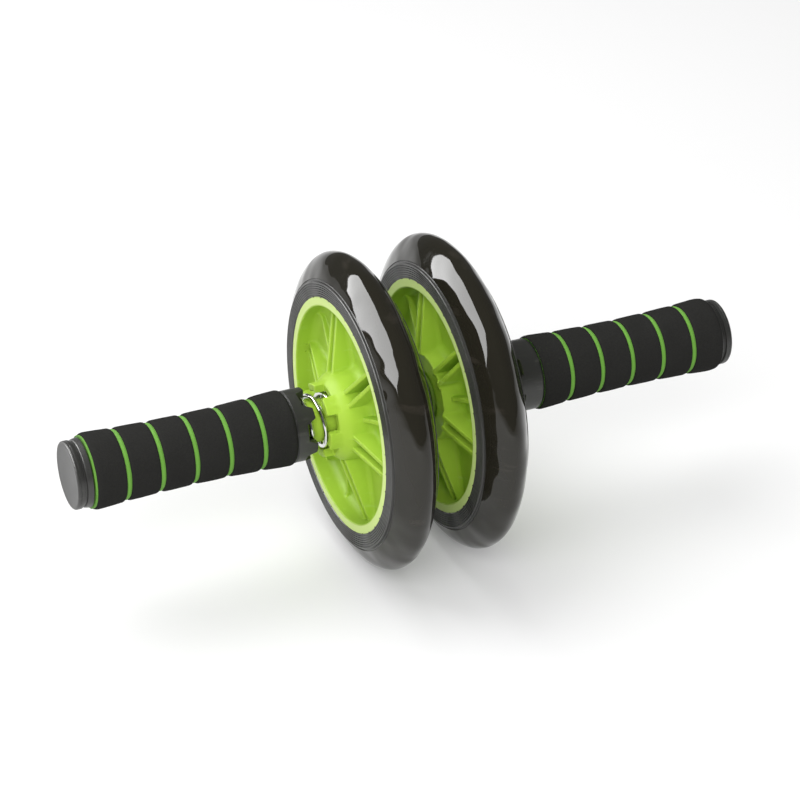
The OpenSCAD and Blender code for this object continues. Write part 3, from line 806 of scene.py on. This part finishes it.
def dish_rows(w, top):
    """(radius, height) from the boss over its shoulder, wall and foot, the web and the round to the rim."""
    fine_arc = [math.radians(a) for a in range(0, 91, 10)]
    shoulder_round, draft = 1.2 * MM, 0.7 * MM
    wall_top, wall_end = top, w.web_half + w.boss_foot
    rows = []
    if top > w.boss_shoulder:
        wall_top = w.boss_shoulder - shoulder_round
        for part in (0.04, 0.5, 0.85):
            rows.append((mix(w.boss_radius, w.boss_wall, part), mix(top, w.boss_shoulder, part)))
    rows += [(w.boss_wall + draft * part, mix(wall_top, wall_end, part)) for part in (0.0, 0.25, 0.5, 0.75)]
    for a in fine_arc:
        radius = w.boss_wall + draft + w.boss_foot * (1 - math.cos(a))
        rows.append((radius, w.web_half + w.boss_foot * (1 - math.sin(a))))
    web_start, web_end = rows[-1][0], w.rim_bore - w.rim_round
    rows += [(mix(web_start, web_end, part), w.web_half) for part in (0.15, 0.3, 0.5, 0.7, 0.85, 1.0)]
    for a in fine_arc[1:]:
        rows.append((web_end + w.rim_round * math.sin(a), w.web_half + w.rim_round * (1 - math.cos(a))))
    return rows


def rim_rows(w):
    """(radius, height, evenness of the columns) up the rim's wall and over its face to the tyre's seat."""
    half, edge = w.rim_half, w.rim_edge
    top = half - edge
    low = w.web_half + w.rim_round
    rows = [(w.rim_bore, mix(low, top, part), part) for part in (0.35, 0.7, 1.0)]
    rows += [(w.rim_bore + edge * (1 - math.cos(a)), top + edge * math.sin(a), 1.0) for a in ARC[1:]]
    rows += [(mix(w.rim_bore, w.rim_radius, part), half, 1.0) for part in (0.45, 0.75)]
    outer = 0.35 * MM
    rows += [(w.rim_radius - outer * to_go, half - outer * gone, 1.0) for gone, to_go in ROUNDING]
    key_half, key_depth = 5 * MM, 2 * MM
    rows += [(w.rim_radius, key_half, 1.0), (w.rim_radius - key_depth, key_half - key_depth / 2, 1.0)]
    return rows


def hub_outline(w, ribs):
    """Rows of the hub's outline: each gives a column's radius, height and turn from a pair's middle."""
    top_columns, floor_columns = 10, 13
    crown = Crown(top_columns, floor_columns, w.tooth_angle, w.tooth_angle, w.crest_round, w.foot_round)
    last = len(COLUMNS) - 1

    def even(column):
        return HALF_SECTOR * column / last

    def plain(radius, height, evenness=0.0):
        return lambda c: (radius, height, mix(crown.turn(c, radius), even(c), evenness))

    def over_teeth(radius, drop):
        return lambda c: (radius, crown.height(c, w.boss_height, w.tooth_reach) - drop, crown.turn(c, radius))

    def dish(radius, base, way, blend_in):
        def spot(c):
            turn = mix(crown.turn(c, radius) if way > 0 else even(c), ribs.turn(c, radius, base), blend_in)
            return radius, way * (base + ribs.lift(c, radius, base)), turn

        return spot

    def rim(radius, height, way, evenness):
        base = min(height, w.web_half + w.rim_round)
        return lambda c: (radius, way * height, mix(ribs.turn(c, radius, base), even(c), evenness))

    edge, bore_start = w.crest_round, 20 * MM
    rows = [plain(w.bore, bore_start, 1.0), plain(w.bore, w.neck_reach, 1.0)]
    rows += [plain(w.neck_radius - edge * to_go, w.neck_reach - edge * gone) for gone, to_go in ROUNDING]
    rows += [plain(w.neck_radius + edge * gone, w.pocket_floor + edge * to_go) for gone, to_go in ROUNDING]
    rows += [plain(w.pocket_radius, w.pocket_floor), plain(w.pocket_radius, w.boss_height - edge)]
    rows += [over_teeth(w.pocket_radius + edge * gone, edge * to_go) for gone, to_go in ROUNDING]
    rows += [over_teeth(mix(w.pocket_radius, w.boss_radius, 0.5), 0.0)]
    rows += [over_teeth(w.boss_radius - edge * to_go, edge * gone) for gone, to_go in ROUNDING]
    front_run, back_run = 1.8 * MM, 2.0 * MM
    for radius, base in dish_rows(w, w.boss_height):
        rows.append(dish(radius, base, 1, ease((radius - w.boss_radius) / front_run)))
    rows += [rim(radius, height, 1, evenness) for radius, height, evenness in rim_rows(w)]
    rows += [rim(radius, height, -1, evenness) for radius, height, evenness in reversed(rim_rows(w))]
    back = dish_rows(w, w.rim_half)
    back_edge = back[0][0]
    for radius, base in reversed(back):
        rows.append(dish(radius, base, -1, ease((radius - back_edge) / back_run)))
    back_ring, middle_ring = back_edge - 0.8 * MM, 16 * MM
    return rows + [plain(radius, -w.rim_half, 1.0) for radius in (back_ring, middle_ring, w.bore)]


def hub_sector(w):
    """Half of a third of the hub: from a single rib over a pair to the middle of a gap without one."""
    outlines = {single: hub_outline(w, Ribs(w, single)) for single in (True, False)}
    last = len(COLUMNS) - 1

    def place(row, column):
        step = column - last
        radius, height, turn = outlines[step < 0][row](abs(step))
        turn = HALF_SECTOR + math.copysign(turn, step)
        return at(height, radius, turn)

    return len(outlines[True]), 2 * last + 1, place


class ROLLER_OT_hubs(bpy.types.Operator):
    """Models a spoked hub with its brake teeth and neck, and copies it to the other wheel"""

    bl_idname = "roller.hubs"
    bl_label = "Wheel hubs"

    def execute(self, context):
        w = context.scene.roller_wheel
        rows, columns, place = hub_sector(w)
        left = all_round(formed("left_wheel_centre", rows, columns, place), count=3)
        bridge_ends(left)
        turn = Matrix.Rotation(-HALF_SECTOR - w.left_turn, 4, "X")
        settle(left, Matrix.Translation((-TYRE_MIDDLE, 0, 0)) @ turn)
        even_normals(left)
        right = to_other_side(left, "right_wheel_centre", w.right_turn - w.left_turn)
        for side, piece in zip(SIDES, (left, right)):
            put_on(piece, f"{side}_wheel", [f"{side}_hub"], finish(lime_plastic))
        return {"FINISHED"}


# Tyres


def tyre_outline(w):
    """Half outline of a tyre as (height, radius), from its seat over the flat side to its crown's top."""
    seat, side = w.rim_radius + 0.05 * MM, w.rim_half + 0.3 * MM
    side_end = w.rim_radius + 8.6 * MM
    shoulder = side_end + 1.5 * MM
    key_half, key_slope, key_depth, edge = 4.9 * MM, 1.0 * MM, 2.0 * MM, 0.4 * MM
    points = [(key_half - key_slope, seat - key_depth), (key_half, seat)]
    points += [(side - edge, seat), (side, seat + edge)]
    depth, first_ring, last_gap = 0.5 * MM, 0.7 * MM, 1.0 * MM
    # A ring is a groove, given here by shares of the rings' pitch and of its depth.
    ring_shape = ((0.0, 0.0), (0.14, 1.0), (0.34, 1.0), (0.48, 0.0))
    pitch = (side_end - seat - last_gap) / w.side_rings
    for i in range(w.side_rings):
        start = seat + first_ring + pitch * i
        for across, deep in ring_shape:
            points.append((side - depth * deep, start + across * pitch))
    # The step past the side's end: how far back from the side and how far out, in millimetres.
    for back, out in ((0.0, -0.4), (0.3, 0.0), (1.4, 0.15), (1.65, 0.6), (1.6, 1.2)):
        points.append((side - back * MM, side_end + out * MM))
    # The crown is a conic with this radius at its top, and it is this half wide at the shoulder.
    drop, top_radius, half = w.tyre_radius - shoulder, 6.3 * MM, 12.5 * MM
    bend = (2 * top_radius * drop - half * half) / drop**2
    steps = 22
    for i in range(steps, -1, -1):
        d = drop * (i / steps) ** 2
        points.append((math.sqrt(max(0.0, 2 * top_radius * d - bend * d * d)), w.tyre_radius - d))
    return points


class ROLLER_OT_tyres(bpy.types.Operator):
    """Models a tyre with fine rings and moulding nibs on its sides, and copies it to the other wheel"""

    bl_idname = "roller.tyres"
    bl_label = "Tyres"

    def execute(self, context):
        w = context.scene.roller_wheel
        half = tyre_outline(w)
        outline = half + [(-height, radius) for height, radius in reversed(half[:-1])]
        left = smooth(turned("left_tyre_rubber", outline, steps=256), degrees=30)
        nibs = self.nibs(w)
        make_active(left)
        nibs.select_set(True)
        bpy.ops.object.join()
        settle(left, Matrix.Translation((-TYRE_MIDDLE, 0, 0)))
        right = to_other_side(left, "right_tyre_rubber")
        for side, piece in zip(SIDES, (left, right)):
            put_on(piece, f"{side}_wheel", [f"{side}_tyre"], finish(polished_rubber))
        return {"FINISHED"}

    def nibs(self, w):
        """Small rubber nibs that reach over the edge of the rim's ring."""
        bpy.ops.object.select_all(action="DESELECT")
        bpy.ops.mesh.primitive_cube_add(size=1)
        obj = bpy.context.object
        obj.name = "tyre_nibs"
        count, bevel, outer_width, inner_width = 36, 0.15 * MM, 0.9 * MM, 0.6 * MM
        top, bottom = w.rim_half + 0.36 * MM, w.rim_half - 0.4 * MM
        outer, inner = w.rim_radius + 0.7 * MM, w.rim_radius - 0.3 * MM
        for point in obj.data.vertices:
            along, across, out = point.co
            width = outer_width if out > 0 else inner_width
            point.co = (-top if along < 0 else -bottom, across * width, outer if out > 0 else inner)
        edit_all(obj)
        bpy.ops.mesh.bevel(offset=bevel, segments=1, affect="EDGES")
        bpy.ops.object.mode_set(mode="OBJECT")
        return smooth(all_round(obj, count, flip=(-1, 1, 1)), degrees=30)


# Collars


def collar_half_sector(h, start, foam):
    """Rows of a collar's outline from its teeth to the foam and back inside, and the place of each column."""
    crest, foot = 0.45 * MM, 0.5 * MM
    root = start + h.crown_height

    def flank(height):
        return mix(h.root_angle, h.tip_angle, (root - height) / h.crown_height)

    top_columns, floor_columns = 4, 5
    crown = Crown(top_columns, floor_columns, flank(start + crest), flank(root - foot), crest, foot)
    last = crown.columns - 1
    seat, socket, spigot = 64.975 * MM, 67.975 * MM, 81.975 * MM

    def plain(radius, height, evenness=1.0):
        return lambda c: (radius, height, mix(crown.turn(c, radius), HALF_SECTOR * c / last, evenness))

    def over_teeth(radius, drop):
        return lambda c: (radius, crown.height(c, root, start) + drop, crown.turn(c, radius))

    outer, inner = h.collar_radius, h.mouth_radius
    near, past, clear, partly = root + 0.55 * MM, root + 1.2 * MM, root + 2.4 * MM, 0.4
    rows = [plain(inner, seat), plain(inner, past, partly), plain(inner, near, 0.0)]
    rows += [over_teeth(inner + crest * gone, crest * to_go) for gone, to_go in ROUNDING]
    rows += [over_teeth(mix(inner, outer, 0.5), 0.0)]
    rows += [over_teeth(outer - crest * to_go, crest * gone) for gone, to_go in ROUNDING]
    rows += [plain(outer, near, 0.0), plain(outer, past, partly), plain(outer, clear)]
    step, edge = foam - 1.1 * MM, 0.25 * MM
    rows += [plain(outer, step - edge)]
    rows += [plain(outer - edge * gone, step - edge * to_go) for gone, to_go in ROUNDING]
    spigot_radius, socket_radius, bore = 16.45 * MM, 14.55 * MM, 12.25 * MM
    rows += [plain(outer - h.lip, step), plain(outer - h.lip, foam), plain(spigot_radius, foam)]
    rows += [plain(spigot_radius, spigot), plain(socket_radius, spigot), plain(socket_radius, socket)]
    rows += [plain(bore, socket), plain(bore, seat)]

    def place(row, column):
        radius, height, turn = rows[row](column)
        return at(height, radius, turn)

    return len(rows), crown.columns, place


class ROLLER_OT_collars(bpy.types.Operator):
    """Models each handle's collar with its crown of teeth"""

    bl_idname = "roller.collars"
    bl_label = "Collars"

    def execute(self, context):
        h = context.scene.roller_handle
        for side in SIDES:
            rows, columns, place = collar_half_sector(h, reach(f"{side}_collar", 0), GRIP_ENDS[side][0])
            piece = formed(f"{side}_brake_collar", rows, columns, place)
            all_round(piece, count=6)
            bridge_ends(piece)
            settle(piece, Matrix.Rotation(-h.crown_turn, 4, "X"))
            if side == "right":
                settle(piece, Matrix.Rotation(math.pi, 4, "Y"))
            even_normals(piece)
            put_on(piece, f"{side}_handle", [f"{side}_collar"], finish(satin_black))
        return {"FINISHED"}


# Springs


class ROLLER_OT_springs(bpy.types.Operator):
    """Winds the chrome spring of each handle at one length; the real spring shortens as the handle slides in
    """

    bl_idname = "roller.springs"
    bl_label = "Springs"

    def centreline(self, h, start):
        """Points of the wire's middle: a closed turn, the working turns and another closed turn."""
        turns, per_turn = h.coil_turns + 2, 40
        rise = 2 * h.closed_pitch + h.coil_turns * h.coil_pitch
        count = round(turns * per_turn)
        soft, closed_end, flat_pitch = 0.08, 0.72, 0.15 * MM
        points = []
        for i in range(count + 1):
            t = i / per_turn
            opening = ease((t - closed_end) / (1 - closed_end))
            low = mix(flat_pitch * t, h.closed_pitch * t, opening)
            high = rise - h.closed_pitch * (turns - t)
            working = h.closed_pitch + h.coil_pitch * (t - 1)
            place = mix(low, working, ease((t - 1 + soft) / (2 * soft)))
            place = mix(place, high, ease((t - turns + 1 + soft) / (2 * soft)))
            points.append(at(start + place, h.coil_radius, h.coil_start + math.tau * t))
        return points

    def execute(self, context):
        h = context.scene.roller_handle
        inner = reach("left_spring", 0)
        curve = bpy.data.curves.new("left_chrome_spring", "CURVE")
        curve.dimensions = "3D"
        points = self.centreline(h, inner + h.wire)
        wire = curve.splines.new("POLY")
        wire.points.add(len(points) - 1)
        for spot, point in zip(wire.points, points):
            spot.co = (*point, 1)
        curve.bevel_depth = h.wire
        curve.bevel_resolution = 5
        curve.use_fill_caps = True
        obj = bpy.data.objects.new("left_chrome_spring", curve)
        context.scene.collection.objects.link(obj)
        make_active(obj)
        bpy.ops.object.convert(target="MESH")
        left = bpy.context.object
        edit_all(left)
        close_up(left)
        smooth(left, degrees=50)
        right = to_other_side(left, "right_chrome_spring")
        for side, sign, piece in zip(SIDES, (-1, 1), (left, right)):
            put_on(piece, f"{side}_handle", [f"{side}_spring"], finish(chrome_wire))
            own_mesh(piece)
        return {"FINISHED"}


# Grips


def grip_radius(h, place, ends):
    """Radius of a grip's outside, thinnest halfway along."""
    x0, x1 = ends
    return h.waist + h.end_flare * ((2 * place - x0 - x1) / (x1 - x0)) ** 2


class ROLLER_OT_grips(bpy.types.Operator):
    """Models the six foam rings of each handle and the green sleeve under them"""

    bl_idname = "roller.grips"
    bl_label = "Grips"

    def ring_outline(self, h, side, index):
        """Outline of one foam ring: a softly crowned outside with rounded ends, and a plain inside."""
        ends = GRIP_ENDS[side]
        start, end = (reach(f"{side}_foam_ring_{index}", corner) for corner in (0, 1))
        crown, edge_drop, first_run, first_drop = 0.18 * MM, 1.08 * MM, 2.4 * MM, 1.1 * MM
        last_run = {"left": 3.4, "right": 5.6}[side] * MM
        last_drop = {"left": 1.1, "right": 1.12}[side] * MM
        runs = [(h.edge_run, edge_drop), (h.edge_run, edge_drop)]
        if index == RINGS[0]:
            runs[0] = (first_run, first_drop)
        if index == RINGS[-1]:
            runs[1] = (last_run, last_drop)

        def top(place):
            middle = (2 * place - start - end) / (end - start)
            return grip_radius(h, place, ends) + crown * (1 - middle * middle)

        steps, outside_parts, inside_parts = 7, 8, 6
        quarter = [math.pi / 2 * i / steps for i in range(steps + 1)]
        points = [(start, top(start) - h.foam)]
        run, drop = runs[0]
        for a in quarter[1:]:
            place = start + run * (1 - math.cos(a))
            points.append((place, top(place) - drop * (1 - math.sin(a))))
        run, drop = runs[1]
        first = points[-1][0]
        for i in range(1, outside_parts):
            place = mix(first, end - run, i / outside_parts)
            points.append((place, top(place)))
        for a in reversed(quarter):
            place = end - run * (1 - math.cos(a))
            points.append((place, top(place) - drop * (1 - math.sin(a))))
        points.append((end, top(end) - h.foam))
        for i in range(1, inside_parts):
            place = mix(end, start, i / inside_parts)
            points.append((place, grip_radius(h, place, ends) - h.foam))
        return points

    def sleeve_outline(self, h, side):
        """Outline of the sleeve: the grip's shape less the foam."""
        ends = GRIP_ENDS[side]
        start, end = (reach(f"{side}_grip_sleeve", corner) for corner in (0, 1))
        steps, inside_parts, play = 240, 8, 0.05 * MM
        outside = [mix(start, end, i / steps) for i in range(steps + 1)]
        grooves = []
        for i in RINGS[:-1]:
            grooves.append((reach(f"{side}_foam_ring_{i}", 1), reach(f"{side}_foam_ring_{i + 1}", 0)))

        def swell(x):
            return sum(h.swell * max(0.0, 1 - ((2 * x - a - b) / (b - a)) ** 2) for a, b in grooves)

        points = [(x, grip_radius(h, x, ends) - h.foam - play + swell(x)) for x in outside]
        return points + [(mix(end, start, i / inside_parts), h.tube) for i in range(inside_parts + 1)]

    def execute(self, context):
        h = context.scene.roller_handle
        foam_fill, sleeve_fill, foam_lumps, sleeve_lumps = 0.7, 0.8, 0.22 * MM, 0.05 * MM
        for side in SIDES:
            pieces = []
            for i in RINGS:
                ring = turned(f"{side}_foam_segment_{i}", self.ring_outline(h, side, i), steps=128)
                pieces.append((ring, f"{side}_foam_ring_{i}", foam_fill))
            sleeve = turned(f"{side}_green_layer", self.sleeve_outline(h, side), steps=96)
            pieces.append((sleeve, f"{side}_grip_sleeve", sleeve_fill))
            for piece, node, fill in pieces:
                soft = piece is not sleeve
                uneven(piece, size=9 * MM, depth=foam_lumps if soft else sleeve_lumps, name=f"{node}_lumps")
                smooth(piece, degrees=50)
                if side == "right":
                    settle(piece, Matrix.Rotation(math.pi, 4, "Y"))
                slot, maker = ("black_foam", matte_foam) if soft else ("green_foam", sleeve_foam)
                put_on(piece, f"{side}_handle", [node], finish(maker))
        return {"FINISHED"}


# End caps


class ROLLER_OT_caps(bpy.types.Operator):
    """Models the stepped end caps: disc, groove and flange"""

    bl_idname = "roller.caps"
    bl_label = "End caps"

    def outline(self, h):
        """Outline of a cap from the middle of its face outwards and back to the middle of its floor."""
        plug, end = reach("left_end_cap", 0), reach("left_end_cap", 1)
        disc, floor = end - h.cap_disc, end - 6.5 * MM
        flange = disc - h.cap_groove
        tube = flange - h.cap_flange
        r, inner, rim = h.cap_radius, h.cap_groove_radius, h.cap_flange_radius
        edge, hollow, bulge, belly = 1.1 * MM, 0.25 * MM, 0.75 * MM, 0.55
        socket, bore = 11.95 * MM, 9.95 * MM

        def steps(place, radius, *moves):
            """Points given by how far they lie inwards from a place and from a radius, in millimetres."""
            return [(place - back * MM, radius - sunk * MM) for back, sunk in moves]

        points = [(end - hollow, 0.0)] + steps(end, r, (0.22, 5), (0.12, 2.6), (0, 1.6))
        points += [(end - edge * gone, r - edge * to_go) for gone, to_go in ROUNDING]
        points += steps(end - edge, r, (0.5, 0), (0.62, 0.16), (0.8, 0.16), (0.92, 0))
        points += steps(disc, r, (-0.5, 0), (-0.14, 0.15), (0, 0.5))
        points += steps(disc, inner, (0, -0.3), (0.1, -0.08), (0.35, 0))
        points += steps(flange, inner, (-0.35, 0), (-0.1, -0.08), (0, -0.3))
        outer = r - 0.1 * MM
        points += [(flange - bulge * gone, outer - bulge * to_go) for gone, to_go in ROUNDING]
        points += [(mix(flange - bulge, tube, 0.5), mix(outer, rim, belly))]
        points += steps(tube, rim, (-0.15, 0), (0, 0.15))
        return points + [(tube, socket), (plug, socket), (plug, bore), (floor, bore), (floor, 0.0)]

    def execute(self, context):
        h = context.scene.roller_handle
        left = smooth(turned("left_stepped_cap", self.outline(h), steps=160, solid=True), degrees=35)
        right = to_other_side(left, "right_stepped_cap")
        for side, piece in zip(SIDES, (left, right)):
            put_on(piece, f"{side}_handle", [f"{side}_end_cap"], finish(satin_black))
        return {"FINISHED"}


# Hidden parts


class ROLLER_OT_fixings(bpy.types.Operator):
    """Gives the axle, bushes, washers and screws their finishes"""

    bl_idname = "roller.fixings"
    bl_label = "Axle and fixings"

    def execute(self, context):
        for name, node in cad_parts.items():
            if node.hide_render:
                continue
            maker = turned_steel
            if "bush" in name:
                maker = bearing_plastic
            elif "spacer" in name or "grip_tube" in name:
                maker = satin_black
            for place in node.material_slots:
                place.material = finish(maker)
            if not node.material_slots:
                raise RuntimeError(f"{name} has no material slot to fill")
        return {"FINISHED"}


# Stage


class ROLLER_OT_stage(bpy.types.Operator):
    """Sets up the floor, the soft lights, the white surroundings and the camera"""

    bl_idname = "roller.stage"
    bl_label = "Stage"

    def execute(self, context):
        s = context.scene.roller_stage
        self.floor(s)
        self.surroundings(context.scene, s)
        self.lights(s)
        self.camera(context.scene, s)
        context.scene.view_settings.view_transform = "Standard"
        return {"FINISHED"}

    def floor(self, s):
        """A white floor that keeps the shadow."""
        bpy.ops.object.select_all(action="DESELECT")
        bpy.ops.mesh.primitive_plane_add(size=12, location=(0, 0, CAD_BOX[0].z))
        obj = bpy.context.object
        obj.name = "floor"
        look = {"Base_Color": (*[s.floor_tone] * 3, 1), "Roughness": 0.9, "Specular_IOR_Level": 0.0}
        material, tree, shader = new_material("floor_white", **look)
        seen = self.seen_straight(tree)
        strength = maths(tree, "MULTIPLY", seen, s.floor_glow)
        glow = add(tree, "ShaderNodeEmission", {"Color": (1, 1, 1, 1), "Strength": strength})
        both = add(tree, "ShaderNodeAddShader", {0: shader.outputs[0], 1: glow.outputs[0]})
        tree.links.new(both.outputs[0], tree.nodes["Material Output"].inputs["Surface"])
        obj.data.materials.append(material)

    def seen_straight(self, tree):
        """1 for rays from the camera, from gloss and through clear things."""
        path = add(tree, "ShaderNodeLightPath")
        gloss = maths(tree, "ADD", path.outputs["Is Camera Ray"], path.outputs["Is Glossy Ray"])
        return maths(tree, "ADD", gloss, path.outputs["Is Transmission Ray"], clamp=True)

    def surroundings(self, scene, s):
        """White for what is seen straight, a dark room for gloss, and an even fill."""
        world = bpy.data.worlds.new("white_room")
        world.use_nodes = True
        tree = world.node_tree
        back = tree.nodes["Background"]
        gloss = add(tree, "ShaderNodeLightPath").outputs["Is Glossy Ray"]
        bright = maths(tree, "MULTIPLY_ADD", gloss, s.room - 1.0, 1.0)
        seen = self.seen_straight(tree)
        even = maths(tree, "MULTIPLY", maths(tree, "SUBTRACT", 1.0, seen), s.fill)
        tree.links.new(maths(tree, "MULTIPLY_ADD", seen, bright, even), back.inputs["Strength"])
        back.inputs["Color"].default_value = (1, 1, 1, 1)
        scene.world = world

    def lamp(self, name, size, energy, azimuth, elevation, distance, gloss):
        """A soft light aimed at the object, for gloss or all else. Azimuth 0 is on the -Y side, 90 on +X."""
        a, e = math.radians(azimuth), math.radians(elevation)
        way = Vector((math.sin(a) * math.cos(e), -math.cos(a) * math.cos(e), math.sin(e)))
        turn = way.to_track_quat("Z", "Y").to_euler()
        bpy.ops.object.light_add(type="AREA", location=way * distance, rotation=turn)
        lamp = bpy.context.object
        lamp.name = lamp.data.name = name
        lamp.data.shape = "RECTANGLE"
        lamp.data.size, lamp.data.size_y = size
        lamp.data.energy = energy
        lamp.visible_camera = False
        lamp.visible_glossy = lamp.visible_transmission = gloss
        lamp.visible_diffuse = not gloss

    def lights(self, s):
        """A key light high behind on the left, a softbox that only gloss shows, and a soft front light."""
        self.lamp("key_light", (1.5, 1.2), s.key, azimuth=-142, elevation=62, distance=1.5, gloss=False)
        self.lamp("softbox", (1.5, 1.0), s.panel, azimuth=-115, elevation=28, distance=1.2, gloss=True)
        self.lamp("front_light", (1.2, 0.9), s.front, azimuth=-30, elevation=36, distance=1.6, gloss=False)

    def camera(self, scene, s):
        """The photograph's camera."""
        up_turn = math.pi / 2 - s.elevation
        turn = Matrix.Rotation(s.azimuth, 4, "Z") @ Matrix.Rotation(up_turn, 4, "X")
        place = turn @ Vector((s.aim_right, s.aim_up, s.distance))
        bpy.ops.object.camera_add(location=place, rotation=turn.to_euler())
        camera = bpy.context.object
        camera.name = "photo_camera"
        camera.data.lens = s.lens
        camera.data.sensor_width = 36.0
        camera.data.clip_start, camera.data.clip_end = 0.05, 50
        scene.camera = camera


STEPS = (
    ROLLER_OT_stage,
    ROLLER_OT_hubs,
    ROLLER_OT_tyres,
    ROLLER_OT_collars,
    ROLLER_OT_springs,
    ROLLER_OT_grips,
    ROLLER_OT_caps,
    ROLLER_OT_fixings,
)


class ROLLER_PT_panel(bpy.types.Panel):
    """Lists the sizes, the colours and the steps that model the roller"""

    bl_idname = "ROLLER_PT_panel"
    bl_label = "Twin-wheel roller"
    bl_space_type = "VIEW_3D"
    bl_region_type = "UI"
    bl_category = "Roller"

    def draw(self, context):
        for key, kind in SETTINGS.items():
            box = self.layout.box()
            box.label(text=kind.__doc__)
            for name in kind.__annotations__:
                box.prop(getattr(context.scene, key), name)
        for step in STEPS:
            self.layout.operator(step.bl_idname)


CLASSES = (*SETTINGS.values(), *STEPS, ROLLER_PT_panel)


def register():
    """Registers the classes and hangs the settings on the scene."""
    for kind in CLASSES:
        bpy.utils.register_class(kind)
    for key, kind in SETTINGS.items():
        setattr(bpy.types.Scene, key, PointerProperty(type=kind))


def unregister():
    """Takes the settings and the classes away again."""
    for key in SETTINGS:
        delattr(bpy.types.Scene, key)
    for kind in reversed(CLASSES):
        bpy.utils.unregister_class(kind)


def main():
    """Models every piece in turn."""
    register()
    for step in STEPS:
        family, name = step.bl_idname.split(".")
        getattr(getattr(bpy.ops, family), name)()


if __name__ == "__main__":
    main()
